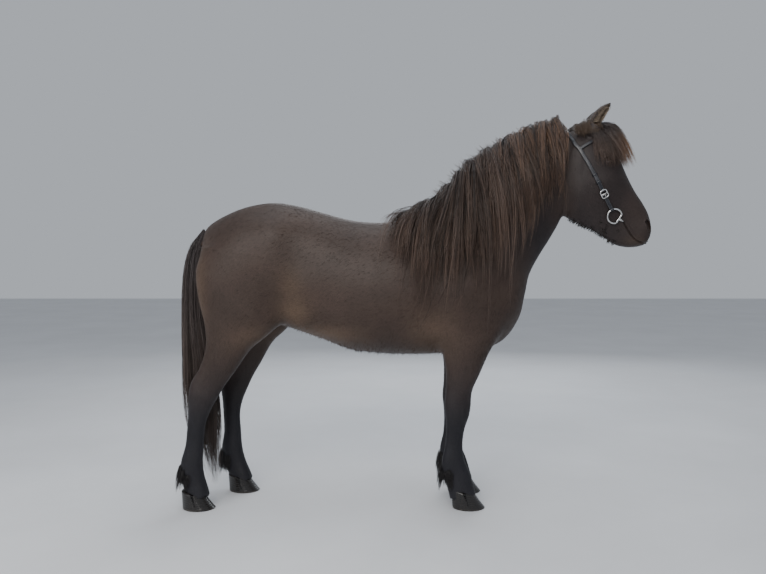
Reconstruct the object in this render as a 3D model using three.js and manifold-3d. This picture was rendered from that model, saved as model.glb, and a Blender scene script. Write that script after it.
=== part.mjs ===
// An Icelandic horse standing square, life size, wearing a bridle.
// Millimetres. +X runs towards the nose, +Y to the horse's left, +Z up. The origin lies on the floor
// under the middle of the horse.
import * as THREE from "three";
import { mergeVertices } from "three/addons/utils/BufferGeometryUtils.js";
import Module from "manifold-3d";

const wasm = await Module();
wasm.setup();

// Driving dimensions.
const withersHeight = 1380; // top of the withers above the floor
const hindStep = 150; // how far the left hind foot stands ahead of the right one
const gap = 0.3; // clearance between neighbouring pieces
const eyeRadius = 19;
const coatLift = 9; // how far the innermost locks hang off the skin
const seamDive = 18; // how far a form's rings go on under another form's skin
const linesPerStation = 6; // sections worked out between two stations of a form

const scale = withersHeight / 1380;
const RIGHT = -1;
const LEFT = 1;

// Repeatable random numbers, so that every build makes the same locks.
function seededRandom(seed) {
  let state = seed;
  return () => {
    state = (state * 1664525 + 1013904223) % 4294967296;
    return state / 4294967296;
  };
}

const clamp = (value, low, high) => Math.min(high, Math.max(low, value));
const mix = (a, b, t) => a + (b - a) * t;
const smoothstep = (low, high, value) => {
  const t = clamp((value - low) / (high - low), 0, 1);
  return t * t * (3 - 2 * t);
};

// Outline of the body. Each station joins a point of the upper rail to one of the lower rail, in the
// XZ plane: up and low are [x, z], half is the half width, mid is where the section is widest as a share
// of the way up, crest and keel are the roundness of its upper and lower part (2 is an ellipse).
const trunkStations = [
  { up: [-996, 1262], low: [-1000, 1168], half: 34, mid: 0.5 },
  { up: [-972, 1303], low: [-984, 1070], half: 112, mid: 0.5 },
  { up: [-893, 1351], low: [-915, 960], half: 186, mid: 0.52 },
  { up: [-790, 1391], low: [-815, 885], half: 228, mid: 0.52 },
  { up: [-670, 1409], low: [-690, 842], half: 242, mid: 0.5 },
  { up: [-550, 1393], low: [-575, 808], half: 240, mid: 0.48 },
  { up: [-420, 1357], low: [-440, 762], half: 247, mid: 0.45 },
  { up: [-285, 1324], low: [-300, 712], half: 262, mid: 0.43 },
  { up: [-150, 1317], low: [-150, 695], half: 270, mid: 0.42 },
  { up: [-30, 1331], low: [0, 690], half: 262, mid: 0.42, crest: 1.85 },
  { up: [55, 1370], low: [120, 694], half: 238, mid: 0.42, crest: 1.6 },
  { up: [110, 1394], low: [285, 704], half: 212, mid: 0.42, crest: 1.5 },
  { up: [165, 1438], low: [410, 750], half: 192, mid: 0.42, crest: 1.5 },
  { up: [222, 1495], low: [489, 852], half: 168, mid: 0.42, crest: 1.55 },
  { up: [284, 1549], low: [519, 960], half: 142, mid: 0.42, crest: 1.6 },
  { up: [355, 1600], low: [541, 1062], half: 118, mid: 0.42, crest: 1.65 },
  { up: [436, 1647], low: [583, 1146], half: 100, mid: 0.43, crest: 1.7 },
  { up: [520, 1691], low: [630, 1221], half: 88, mid: 0.45, crest: 1.75 },
  { up: [611, 1724], low: [668, 1286], half: 80, mid: 0.48, crest: 1.8 },
  { up: [700, 1744], low: [700, 1345], half: 76, mid: 0.5, crest: 1.9 },
  { up: [772, 1752], low: [752, 1405], half: 70, mid: 0.5 },
];

const headStations = [
  { up: [772, 1768], low: [690, 1462], half: 66, mid: 0.5 },
  { up: [838, 1776], low: [690, 1398], half: 84, mid: 0.55 },
  { up: [905, 1718], low: [708, 1344], half: 96, mid: 0.62, crest: 2.3 },
  { up: [961, 1625], low: [762, 1313], half: 99, mid: 0.66, crest: 2.5 },
  { up: [1003, 1535], low: [822, 1284], half: 82, mid: 0.62, crest: 2.5 },
  { up: [1041, 1466], low: [872, 1257], half: 66, mid: 0.58, crest: 2.4 },
  { up: [1080, 1408], low: [912, 1229], half: 56, mid: 0.55, crest: 2.3 },
  { up: [1106, 1358], low: [950, 1206], half: 55, mid: 0.52, crest: 2.3, keel: 2.2 },
  { up: [1118, 1306], low: [996, 1198], half: 54, mid: 0.5, crest: 2.3, keel: 2.2 },
  { up: [1116, 1258], low: [1044, 1197], half: 45, mid: 0.5, crest: 2.3, keel: 2.2 },
  { up: [1104, 1230], low: [1076, 1204], half: 26, mid: 0.5 },
];

// Legs: up is the front edge, low the back edge, side the distance of the middle of the leg from the
// horse's middle plane.
const foreLegStations = [
  { up: [390, 905], low: [150, 930], half: 62, side: 112 },
  { up: [384, 800], low: [118, 800], half: 74, side: 118 },
  { up: [336, 705], low: [124, 716], half: 68, side: 120 },
  { up: [291, 610], low: [136, 628], half: 56, side: 120 },
  { up: [263, 540], low: [136, 545], half: 47, side: 119 },
  { up: [252, 470], low: [130, 470], half: 46, side: 118 },
  { up: [243, 412], low: [136, 408], half: 42, side: 118 },
  { up: [226, 352], low: [138, 348], half: 32, side: 117 },
  { up: [219, 285], low: [133, 280], half: 30, side: 116 },
  { up: [228, 220], low: [118, 212], half: 37, side: 115 },
  { up: [250, 165], low: [124, 145], half: 36, side: 114 },
  { up: [266, 112], low: [144, 88], half: 41, side: 114 },
  { up: [280, 66], low: [156, 40], half: 47, side: 114 },
];

const hindLegStations = [
  { up: [-632, 1140], low: [-975, 1190], half: 84, side: 122 },
  { up: [-596, 985], low: [-1003, 1085], half: 104, side: 130 },
  { up: [-612, 862], low: [-990, 960], half: 100, side: 134 },
  { up: [-676, 792], low: [-964, 840], half: 84, side: 135 },
  { up: [-752, 728], low: [-961, 738], half: 67, side: 134 },
  { up: [-820, 632], low: [-990, 645], half: 52, side: 132 },
  { up: [-868, 566], low: [-1028, 580], half: 44, side: 131 },
  { up: [-903, 508], low: [-1040, 525], half: 44, side: 130 },
  { up: [-940, 440], low: [-1042, 446], half: 38, side: 129 },
  { up: [-961, 375], low: [-1047, 378], half: 31, side: 128 },
  { up: [-968, 290], low: [-1056, 290], half: 30, side: 127 },
  { up: [-973, 212], low: [-1078, 205], half: 37, side: 126 },
  { up: [-966, 150], low: [-1074, 128], half: 37, side: 125 },
  { up: [-952, 100], low: [-1056, 74], half: 42, side: 124 },
  { up: [-942, 62], low: [-1050, 38], half: 46, side: 124 },
];

// The left hind leg stands forward of the right one, more so towards the foot.
const hipHeight = 1050;
const stepAt = (z) => hindStep * clamp(1 - z / hipHeight, 0, 1);
const steppedForward = hindLegStations.map((s) => ({
  ...s,
  up: [s.up[0] + stepAt(s.up[1]), s.up[1]],
  low: [s.low[0] + stepAt(s.low[1]), s.low[1]],
}));

// Muscle and bone forms that raise or hollow the skin: at is [x, side, z], size the reach in each
// direction, rise the height in millimetres. Each one is there on both sides.
const reliefs = [
  { at: [-640, 205, 1270], size: [80, 60, 70], rise: 12 }, // point of the hip
  { at: [-520, 215, 1130], size: [90, 80, 120], rise: -14 }, // hollow of the flank
  { at: [-560, 190, 930], size: [70, 70, 90], rise: -10 }, // behind the flank fold
  { at: [-870, 190, 1080], size: [110, 90, 150], rise: 12 }, // thigh muscle
  { at: [-760, 175, 880], size: [90, 70, 90], rise: 8 }, // stifle
  { at: [250, 190, 1010], size: [110, 70, 190], rise: 14 }, // shoulder blade
  { at: [170, 205, 840], size: [80, 60, 90], rise: 16 }, // triceps over the elbow
  { at: [420, 120, 940], size: [80, 60, 80], rise: 14 }, // point of the shoulder
  { at: [80, 225, 1060], size: [60, 70, 150], rise: -9 }, // behind the shoulder blade
  { at: [525, 0, 930], size: [60, 34, 110], rise: -12 }, // groove between the breast muscles
  { at: [500, 95, 1180], size: [120, 40, 70], rise: -6 }, // groove along the neck
  { at: [286, 150, 625], size: [40, 40, 90], rise: 5 }, // front of the forearm
  { at: [246, 118, 455], size: [26, 44, 48], rise: 5 }, // knee
  { at: [742, 96, 1440], size: [72, 44, 84], rise: 15 }, // round of the jaw
  { at: [900, 94, 1642], size: [48, 30, 26], rise: 9 }, // ridge over the eye
  { at: [868, 92, 1672], size: [26, 30, 26], rise: -10 }, // hollow above the eye
  { at: [905, 80, 1500], size: [90, 30, 26], rise: 7 }, // cheek ridge
  { at: [975, 74, 1420], size: [60, 34, 40], rise: -7 }, // hollow of the nose
  { at: [1090, 48, 1300], size: [26, 24, 34], rise: 8 }, // wing of the nostril
  { at: [1010, 30, 1206], size: [40, 50, 24], rise: 7 }, // lower lip and chin
];

const channels = ["ux", "uz", "lx", "lz", "half", "mid", "crest", "keel", "side"];

// One smooth form between its two rails, on one side of the middle plane or across it.
class Form {
  constructor(stations, sideSign, blend) {
    this.blend = blend * scale;
    this.count = stations.length;
    this.knots = stations.map((s) => ({
      ux: s.up[0] * scale,
      uz: s.up[1] * scale,
      lx: s.low[0] * scale,
      lz: s.low[1] * scale,
      half: s.half * scale,
      mid: s.mid ?? 0.5,
      crest: s.crest ?? 2.1,
      keel: s.keel ?? 2.1,
      side: (s.side ?? 0) * sideSign * scale,
    }));
    this.lines = [];
    for (let i = 0; i <= (this.count - 1) * linesPerStation; i++)
      this.lines.push(this.station(i / linesPerStation));
    this.box = new THREE.Box3();
    for (const s of this.lines) {
      this.box.expandByPoint(new THREE.Vector3(s.ux, s.side - s.half, s.uz));
      this.box.expandByPoint(new THREE.Vector3(s.lx, s.side + s.half, s.lz));
    }
    this.box.expandByScalar(90 * scale);
  }

  // All channels at t, counted in stations, on a Catmull-Rom curve.
  station(t) {
    const i = clamp(Math.floor(t), 0, this.count - 2);
    const f = t - i;
    const k = [i - 1, i, i + 1, i + 2].map((j) => this.knots[clamp(j, 0, this.count - 1)]);
    const s = { t };
    for (const c of channels) {
      const [a, b, d, e] = k.map((knot) => knot[c]);
      const slopeIn = (d - a) / 2;
      const slopeOut = (e - b) / 2;
      s[c] =
        (2 * f ** 3 - 3 * f ** 2 + 1) * b +
        (f ** 3 - 2 * f ** 2 + f) * slopeIn +
        (3 * f ** 2 - 2 * f ** 3) * d +
        (f ** 3 - f ** 2) * slopeOut;
    }
    s.depth = Math.hypot(s.ux - s.lx, s.uz - s.lz);
    s.dx = (s.ux - s.lx) / s.depth;
    s.dz = (s.uz - s.lz) / s.depth;
    return s;
  }

  // Signed distance of (x, z) ahead of a section line, in the XZ plane.
  static ahead(s, x, z) {
    return s.dz * (x - s.lx) - s.dx * (z - s.lz);
  }

  // The section through (x, z), and how far the point lies past the form's first or last section.
  locate(x, z) {
    const lines = this.lines;
    const aheadLow = Form.ahead(lines[0], lines[1].lx, lines[1].lz);
    const aheadUp = Form.ahead(lines[0], lines[1].ux, lines[1].uz);
    const turn = aheadLow + aheadUp > 0 ? 1 : -1;
    let best = null;
    let bestShare = Infinity;
    let before = turn * Form.ahead(lines[0], x, z);
    const first = before;
    for (let i = 1; i < lines.length; i++) {
      const here = turn * Form.ahead(lines[i], x, z);
      if (before >= 0 && here < 0) {
        const f = before / (before - here);
        const a = lines[i - 1];
        const b = lines[i];
        const s = {};
        for (const c of channels) s[c] = mix(a[c], b[c], f);
        s.depth = Math.hypot(s.ux - s.lx, s.uz - s.lz);
        s.up = ((x - s.lx) * (s.ux - s.lx) + (z - s.lz) * (s.uz - s.lz)) / s.depth ** 2;
        const share = Math.abs(s.up - 0.5);
        if (share < bestShare) {
          bestShare = share;
          best = { s, past: 0 };
        }
      }
      before = here;
    }
    if (best) return best;
    const s = { ...(first < 0 ? lines[0] : lines[lines.length - 1]) };
    s.up = ((x - s.lx) * s.dx + (z - s.lz) * s.dz) / s.depth;
    return { s, past: first < 0 ? -first : Math.abs(before) };
  }

  holds(x, y, z) {
    const { min, max } = this.box;
    return x > min.x && x < max.x && y > min.y && y < max.y && z > min.z && z < max.z;
  }

  // Distance from (x, y, z) to this form's skin, negative inside.
  distance(x, y, z) {
    const { s, past } = this.locate(x, z);
    const along = (s.up - s.mid) * s.depth;
    const across = y - s.side;
    const reach = (along > 0 ? 1 - s.mid : s.mid) * s.depth;
    const power = along > 0 ? s.crest : s.keel;
    const out = Math.hypot(along, across);
    const share = (Math.abs(along / reach) ** power + Math.abs(across / s.half) ** power) ** (1 / power);
    const section = share < 1e-6 ? -Math.min(reach, s.half) : out - out / share;
    if (past === 0) return section;
    return section > 0 ? Math.hypot(section, past) : Math.max(section, past);
  }
}

const trunk = new Form(trunkStations, 0, 40);
const head = new Form(headStations, 0, 34);
const foreLegs = {
  [RIGHT]: new Form(foreLegStations, RIGHT, 44),
  [LEFT]: new Form(foreLegStations, LEFT, 44),
};
const hindLegs = {
  [RIGHT]: new Form(hindLegStations, RIGHT, 56),
  [LEFT]: new Form(steppedForward, LEFT, 56),
};
const forms = [trunk, head, foreLegs[RIGHT], foreLegs[LEFT], hindLegs[RIGHT], hindLegs[LEFT]];

function smoothUnion(a, b, reach) {
  const h = Math.max(reach - Math.abs(a - b), 0) / reach;
  return Math.min(a, b) - (h * h * reach) / 4;
}

// Distance from a point to the whole skin, with the forms run into each other and the reliefs on it.
function skinDistance(x, y, z) {
  let d = 1000;
  for (const form of forms) {
    if (form.holds(x, y, z)) d = smoothUnion(d, form.distance(x, y, z), form.blend);
  }
  for (const r of reliefs) {
    const u = (x / scale - r.at[0]) / r.size[0];
    const v = (Math.abs(y) / scale - r.at[1]) / r.size[1];
    const w = (z / scale - r.at[2]) / r.size[2];
    d -= r.rise * scale * Math.exp(-(u * u + v * v + w * w));
  }
  return d;
}

function skinNormal(p) {
  const h = 2;
  return new THREE.Vector3(
    skinDistance(p.x + h, p.y, p.z) - skinDistance(p.x - h, p.y, p.z),
    skinDistance(p.x, p.y + h, p.z) - skinDistance(p.x, p.y - h, p.z),
    skinDistance(p.x, p.y, p.z + h) - skinDistance(p.x, p.y, p.z - h),
  ).normalize();
}

// The point at a given height over the skin that is nearest to p, found in a few steps.
function liftedTo(p, height) {
  const q = p.clone();
  for (let i = 0; i < 4; i++) q.addScaledVector(skinNormal(q), height - skinDistance(q.x, q.y, q.z));
  return q;
}

// A closed surface through rings of equally many points, with a fan over each end.
function ringGeometry(rings) {
  const around = rings[0].length;
  const positions = [];
  const index = [];
  const put = (p) => positions.push(p.x, p.y, p.z);
  rings.forEach((ring) => ring.forEach(put));
  for (let i = 0; i + 1 < rings.length; i++)
    for (let j = 0; j < around; j++) {
      const a = i * around + j;
      const b = i * around + ((j + 1) % around);
      index.push(a, b, a + around, b, b + around, a + around);
    }
  const middle = (ring) => ring.reduce((sum, p) => sum.add(p), new THREE.Vector3()).divideScalar(around);
  const start = positions.length / 3;
  put(middle(rings[0]));
  put(middle(rings[rings.length - 1]));
  const last = (rings.length - 1) * around;
  for (let j = 0; j < around; j++) {
    const next = (j + 1) % around;
    index.push(start, next, j);
    index.push(start + 1, last + j, last + next);
  }
  const geometry = new THREE.BufferGeometry();
  geometry.setAttribute("position", new THREE.Float32BufferAttribute(positions, 3));
  geometry.setIndex(index);
  return geometry;
}

// A three.js geometry as a solid to join and cut with, its faces turned outwards.
function solidOf(geometry) {
  const bare = geometry.clone();
  bare.deleteAttribute("normal");
  bare.deleteAttribute("uv");
  const merged = mergeVertices(bare, 1e-4);
  const vertices = merged.attributes.position.array;
  const triangles = new Uint32Array(merged.index.array);
  const corner = (i) => new THREE.Vector3().fromArray(vertices, triangles[i] * 3);
  let volume = 0;
  for (let i = 0; i < triangles.length; i += 3) volume += corner(i).dot(corner(i + 1).cross(corner(i + 2)));
  if (volume < 0)
    for (let i = 0; i < triangles.length; i += 3)
      [triangles[i], triangles[i + 1]] = [triangles[i + 1], triangles[i]];
  const mesh = { numProp: 3, vertProperties: new Float32Array(vertices), triVerts: triangles };
  return new wasm.Manifold(new wasm.Mesh(mesh));
}

function geometryOf(solid) {
  const mesh = solid.getMesh();
  const positions = new Float32Array(mesh.numVert * 3);
  for (let i = 0; i < mesh.numVert; i++)
    positions.set(mesh.vertProperties.subarray(i * mesh.numProp, i * mesh.numProp + 3), i * 3);
  const geometry = new THREE.BufferGeometry();
  geometry.setAttribute("position", new THREE.BufferAttribute(positions, 3));
  geometry.setIndex(new THREE.BufferAttribute(new Uint32Array(mesh.triVerts), 1));
  return geometry;
}

const joined = (solids) => wasm.Manifold.union(solids);

// The largest closed surface of a solid: a sealed hollow is filled and a loose scrap dropped.
function largestOf(solid) {
  return solid.decompose().reduce((a, b) => (a.volume() > b.volume() ? a : b));
}

// A box of the given size, moved and turned so that its Z runs along a direction in the XZ plane.
function slab(size, at, direction = [0, 1]) {
  const box = new THREE.BoxGeometry(...size.map((v) => v * scale));
  const tilt = Math.atan2(direction[0], direction[1]);
  box.rotateY(tilt);
  box.translate(at[0] * scale, at[1] * scale, at[2] * scale);
  return solidOf(box);
}

// How far a form's ring dives under the skin at a point where another form makes the outer surface.
function diveAt(form, x, y, z) {
  const own = form.distance(x, y, z);
  let other = Infinity;
  for (const f of forms)
    if (f !== form && f.holds(x, y, z)) other = Math.min(other, f.distance(x, y, z));
  return seamDive * scale * smoothstep(14 * scale, 56 * scale, own - other);
}

// One form as a closed solid of rings, each point on the whole skin raised by lift, or just inside the
// form's own outline where another form goes on past it.
function formSolid({ form, ringCount, around, grow }, lift = 0) {
  const rings = [];
  for (let i = 0; i <= ringCount; i++) {
    const s = form.station(((form.count - 1) * i) / ringCount);
    const centreX = s.lx + s.dx * s.depth * s.mid;
    const centreZ = s.lz + s.dz * s.depth * s.mid;
    const ring = [];
    for (let j = 0; j < around; j++) {
      const turn = ((j + 0.5) / around) * 2 * Math.PI;
      const upper = Math.cos(turn) > 0;
      const reach = (upper ? 1 - s.mid : s.mid) * s.depth;
      const power = upper ? s.crest : s.keel;
      const norm = (Math.abs(Math.cos(turn)) ** power + Math.abs(Math.sin(turn)) ** power) ** (1 / power);
      const along = (Math.cos(turn) / norm) * reach;
      const across = (Math.sin(turn) / norm) * s.half;
      const own = Math.hypot(along, across);
      const direction = new THREE.Vector3(s.dx * along, across, s.dz * along).divideScalar(own);
      const at = (r) => [centreX + direction.x * r, s.side + direction.y * r, centreZ + direction.z * r];
      let low = own * 0.6;
      let high = own + grow * scale;
      let radius = own - seamDive * scale;
      if (skinDistance(...at(high)) > lift) {
        for (let k = 0; k < 14; k++) {
          const half = (low + high) / 2;
          if (skinDistance(...at(half)) > lift) high = half;
          else low = half;
        }
        radius = (low + high) / 2 - diveAt(form, ...at(low));
      }
      ring.push(new THREE.Vector3(...at(radius)));
    }
    rings.push(ring);
  }
  return solidOf(ringGeometry(rings));
}

// The point of the skin at (x, z) on one side of the horse, lifted off it by a height.
function sidePoint(x, z, side, height = 0) {
  let inner = 0;
  let outer = 400 * scale;
  for (let i = 0; i < 20; i++) {
    const middle = (inner + outer) / 2;
    if (skinDistance(x * scale, side * middle, z * scale) > 0) outer = middle;
    else inner = middle;
  }
  const p = new THREE.Vector3(x * scale, side * inner, z * scale);
  return p.addScaledVector(skinNormal(p), height * scale);
}

// Value of a table of [place, value] rows at a place, straight between its rows.
function between(table, place) {
  if (place <= table[0][0]) return table[0][1];
  for (let i = 1; i < table.length; i++)
    if (place <= table[i][0]) {
      const share = (place - table[i - 1][0]) / (table[i][0] - table[i - 1][0]);
      return mix(table[i - 1][1], table[i][1], share);
    }
  return table[table.length - 1][1];
}

// A sweep of one flat section along points: each ring has its corners at the given shares of width
// (across the run) and height (along the normal).
function sweep(points, normals, corners, widthAt, heightAt) {
  const rings = points.map((p, i) => {
    const before = points[Math.max(i - 1, 0)];
    const after = points[Math.min(i + 1, points.length - 1)];
    const forward = after.clone().sub(before).normalize();
    const across = new THREE.Vector3().crossVectors(forward, normals[i]).normalize();
    const up = new THREE.Vector3().crossVectors(across, forward).normalize();
    const share = i / (points.length - 1);
    return corners.map(([w, h]) =>
      p.clone().addScaledVector(across, w * widthAt(share)).addScaledVector(up, h * heightAt(share)),
    );
  });
  return solidOf(ringGeometry(rings));
}

const diamond = [[0.5, 0], [0, 0.5], [-0.5, 0], [0, -0.5]];
const bandSection = [[0.5, 0], [0.5, 1], [-0.5, 1], [-0.5, 0]];

const lockTaper = [[0, 0.45], [0.25, 0.9], [0.45, 1], [0.75, 0.8], [1, 0.07]];
const bladeTaper = [[0, 1], [0.5, 0.8], [1, 0.07]];

// A lock of hair: flat and tapered to its tip.
function lockSolid({ points, normals }, width, thickness, taper = lockTaper) {
  const widthAt = (share) => width * scale * between(taper, share);
  const thicknessAt = (share) => thickness * scale * between(taper, share);
  return sweep(points, normals, diamond, widthAt, thicknessAt);
}

// The run of a lock that leaves the skin at root, turns under its own weight and hangs over the body. It
// rises to lift + rise at first and then lies at lift over the skin, or hangs free of it where cling is 0.
function hangingRun(lock) {
  const { root, heading, length, lift, rise = 0, drift = 0, turn = 0.25, cling = 1, knots = 5 } = lock;
  const subSteps = 4;
  const count = subSteps * (knots - 1);
  const step = (length * scale) / count;
  const position = root.clone();
  const direction = heading.clone().normalize();
  const points = [];
  const normals = [];
  for (let i = 0; i <= count; i++) {
    const normal = skinNormal(position);
    if (i % subSteps === 0) {
      points.push(position.clone());
      normals.push(normal);
    }
    const fall = new THREE.Vector3(drift, 0, -1);
    fall.addScaledVector(normal, -fall.dot(normal));
    direction.lerp(fall, turn).normalize();
    position.addScaledVector(direction, step);
    const run = ((i + 1) * step) / scale;
    const height = lift * smoothstep(0, 60, run) + rise * Math.exp(-(((run - 55) / 50) ** 2));
    const off = height * scale - skinDistance(position.x, position.y, position.z);
    position.addScaledVector(skinNormal(position), off > 0 ? off : Math.max(off, -step) * cling);
  }
  points[0].addScaledVector(normals[0], -16 * scale);
  return { points, normals };
}

const group = new THREE.Group();
const finishes = {
  coat: { color: 0x2a211c, roughness: 0.75, metalness: 0 },
  horn: { color: 0x14110f, roughness: 0.35, metalness: 0 },
  eye: { color: 0x0d0806, roughness: 0.1, metalness: 0 },
  leather: { color: 0x17161a, roughness: 0.45, metalness: 0 },
  steel: { color: 0xc8ccd0, roughness: 0.25, metalness: 1 },
};

function addNode(name, solid, finish) {
  const material = new THREE.MeshStandardMaterial(finishes[finish]);
  const mesh = new THREE.Mesh(geometryOf(largestOf(solid)), material);
  mesh.name = name;
  group.add(mesh);
}

const sides = [["right", RIGHT], ["left", LEFT]];

// Ears: a cupped leaf of C-shaped rings, open to the front and side, its root sunk into the poll.
const earBase = [828, 60, 1738];
const earTip = [908, 78, 1868];
const earWidths = [[0, 25], [0.25, 31], [0.5, 33], [0.75, 24], [0.92, 11], [1, 2]];
const earCup = [[0, 0.2], [0.22, 0.3], [0.4, 0.84], [0.9, 0.82], [1, 0.6]];

function earSolid(side, extra = 0) {
  const base = new THREE.Vector3(earBase[0], side * earBase[1], earBase[2]).multiplyScalar(scale);
  const tip = new THREE.Vector3(earTip[0], side * earTip[1], earTip[2]).multiplyScalar(scale);
  const axis = tip.clone().sub(base).normalize();
  base.addScaledVector(axis, -extra);
  tip.addScaledVector(axis, extra);
  const opening = new THREE.Vector3(0.78, side * 0.62, 0);
  opening.addScaledVector(axis, -opening.dot(axis)).normalize();
  const across = new THREE.Vector3().crossVectors(axis, opening);
  const ringCount = 9;
  const arc = 7;
  const rings = [];
  for (let i = 0; i <= ringCount; i++) {
    const t = i / ringCount;
    const radius = between(earWidths, t) * scale;
    const inner = radius * between(earCup, t);
    const spread = Math.min(mix(2.9, 2.0, smoothstep(0, 0.6, t)) + extra / radius, 3.1);
    const bow = 9 * scale * Math.sin(Math.PI * t);
    const centre = base.clone().lerp(tip, t).addScaledVector(opening, -bow);
    const at = (r, angle) => {
      const p = centre.clone().addScaledVector(opening, -r * Math.cos(angle));
      return p.addScaledVector(across, r * Math.sin(angle));
    };
    const ring = [];
    for (let j = 0; j <= arc; j++) ring.push(at(radius + extra, mix(-spread, spread, j / arc)));
    for (let j = arc; j >= 0; j--) ring.push(at(inner - extra, mix(-spread, spread, j / arc)));
    rings.push(ring);
  }
  return solidOf(ringGeometry(rings));
}

// Eyes: a ball in a socket, under lids with an almond opening.
const eyePlace = [893, 1602];
const eyeStandsOut = 9;
const lidThickness = 3.5;
const eyeOpening = [34, 22];

function eyeParts(side) {
  const skin = sidePoint(eyePlace[0], eyePlace[1], side);
  const outward = skinNormal(skin);
  const centre = skin.clone().addScaledVector(outward, (eyeStandsOut - eyeRadius) * scale);
  const ball = (radius) =>
    solidOf(new THREE.SphereGeometry(radius, 12, 7).translate(centre.x, centre.y, centre.z));
  const [long, high] = eyeOpening.map((v) => (v * scale) / 2);
  const almond = new THREE.Shape();
  almond.moveTo(-long, 0);
  almond.quadraticCurveTo(-long * 0.2, high * 2.1, long, 0);
  almond.quadraticCurveTo(0, -high * 1.7, -long, 0);
  const through = { depth: 60 * scale, bevelEnabled: false, curveSegments: 3 };
  const opening = new THREE.ExtrudeGeometry(almond, through);
  const foldLine = new THREE.Vector3(0.87, 0, -0.5);
  foldLine.addScaledVector(outward, -foldLine.dot(outward)).normalize();
  const upLine = new THREE.Vector3().crossVectors(outward, foldLine);
  if (upLine.z < 0) {
    foldLine.negate();
    upLine.negate();
  }
  opening.applyMatrix4(new THREE.Matrix4().makeBasis(foldLine, upLine, outward).setPosition(centre));
  return {
    eye: ball(eyeRadius * scale),
    socket: joined([ball(eyeRadius * scale + gap), solidOf(opening)]),
    lids: ball((eyeRadius + lidThickness) * scale),
  };
}

const eyes = { [RIGHT]: eyeParts(RIGHT), [LEFT]: eyeParts(LEFT) };

// Nostrils: a deep comma-shaped pit on each side of the muzzle.
function nostrilPit(side) {
  const pits = [
    { place: [1097, 44, 1300], size: [8, 16, 21], lean: -0.35 },
    { place: [1091, 47, 1279], size: [7, 13, 12], lean: -0.9 },
  ];
  return joined(
    pits.map(({ place, size, lean }) => {
      const pit = new THREE.SphereGeometry(1, 8, 6).scale(...size.map((v) => v * scale));
      pit.rotateY(lean);
      pit.translate(place[0] * scale, side * place[1] * scale, place[2] * scale);
      return solidOf(pit);
    }),
  );
}

// The line of the mouth: a groove round the muzzle from one corner of the lips to the other.
function mouthGroove() {
  const lipLine = [[974, 1316], [990, 1288], [1008, 1258], [1026, 1234], [1043, 1214]];
  const rightSide = lipLine.map(([x, z]) => sidePoint(x, z, RIGHT));
  const leftSide = lipLine.map(([x, z]) => sidePoint(x, z, LEFT)).reverse();
  const front = [-18, 0, 18].map((y) =>
    liftedTo(new THREE.Vector3(1058 - Math.abs(y) / 5, y, 1200).multiplyScalar(scale), 0),
  );
  const points = [...rightSide, ...front, ...leftSide];
  const groove = [[0.5, 0.4], [-0.5, 0.4], [0, -1]];
  return sweep(points, points.map(skinNormal), groove, () => 5 * scale, () => 9 * scale);
}

// The whole body of flesh, then parted by thin cuts.
const fleshForms = [
  { form: trunk, ringCount: 32, around: 20, grow: 60 },
  { form: head, ringCount: 23, around: 18, grow: 50 },
  ...sides.map(([, side]) => ({ form: foreLegs[side], ringCount: 17, around: 12, grow: 60 })),
  ...sides.map(([, side]) => ({ form: hindLegs[side], ringCount: 19, around: 12, grow: 60 })),
];
const body = joined([
  ...fleshForms.map((flesh) => formSolid(flesh)),
  ...sides.map(([, side]) => eyes[side].lids),
]);
const clearOfFlesh = joined(fleshForms.slice(0, 2).map((flesh) => formSolid(flesh, gap)));

const neckCut = { up: [-75, 1352], low: [552, 985] };
const pollCut = { up: [716, 1830], low: [688, 1320] };
const foreCut = 662;
const hindCut = 784;

// A thin slab along a line in the XZ plane, from up to low, reaching a little past both.
function parting({ up, low }, width) {
  const run = Math.hypot(up[0] - low[0], up[1] - low[1]);
  const middle = [(up[0] + low[0]) / 2, 0, (up[1] + low[1]) / 2];
  return slab([gap / scale, width, run + 160], middle, [(up[0] - low[0]) / run, (up[1] - low[1]) / run]);
}

const coronetSlope = [-0.24, 1];
const hoofPlaces = {
  fore: { heel: 168, toe: 320, coronet: 66, half: 60 },
  hind: { heel: -1066, toe: -917, coronet: 62, half: 57 },
};

// The plane of the coronet, as a slab whose lower or upper face lies on it.
function coronetSlab({ heel, toe, coronet }, side, sideways, below) {
  const thick = 160;
  const run = Math.hypot(...coronetSlope);
  const shift = ((below ? -1 : 1) * thick) / 2;
  const middle = [
    (heel + toe) / 2 + (shift * coronetSlope[0]) / run,
    side * sideways,
    coronet + (shift * coronetSlope[1]) / run,
  ];
  return slab([420, 200, thick], middle, coronetSlope);
}

const feet = [];
for (const [sideName, side] of sides) {
  feet.push({ name: `fore_${sideName}`, side, sideways: 114, ...hoofPlaces.fore });
  const step = side === LEFT ? hindStep : 0;
  const hind = { ...hoofPlaces.hind, heel: hoofPlaces.hind.heel + step, toe: hoofPlaces.hind.toe + step };
  feet.push({ name: `hind_${sideName}`, side, sideways: 124, ...hind });
}

const cuts = joined([
  parting(neckCut, 620),
  parting(pollCut, 300),
  slab([330, 190, gap / scale], [230, -118, foreCut]),
  slab([330, 190, gap / scale], [230, 118, foreCut]),
  slab([460, 210, gap / scale], [-850, -130, hindCut]),
  slab([460, 210, gap / scale], [-850 + stepAt(hindCut), 130, hindCut]),
  ...sides.flatMap(([, side]) => [eyes[side].socket, nostrilPit(side)]),
  mouthGroove(),
  ...feet.map((foot) => coronetSlab(foot, foot.side, foot.sideways, true)),
]);

const pieces = body.subtract(cuts).decompose();

// The piece left by the cuts whose box has its middle nearest to (x, y, z).
function pieceAt(x, y, z) {
  const place = new THREE.Vector3(x, y, z).multiplyScalar(scale);
  const middle = ({ min, max }) => new THREE.Vector3(...min).add(new THREE.Vector3(...max)).divideScalar(2);
  const off = (piece) => middle(piece.boundingBox()).distanceTo(place);
  return pieces.reduce((a, b) => (off(a) < off(b) ? a : b));
}

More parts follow.
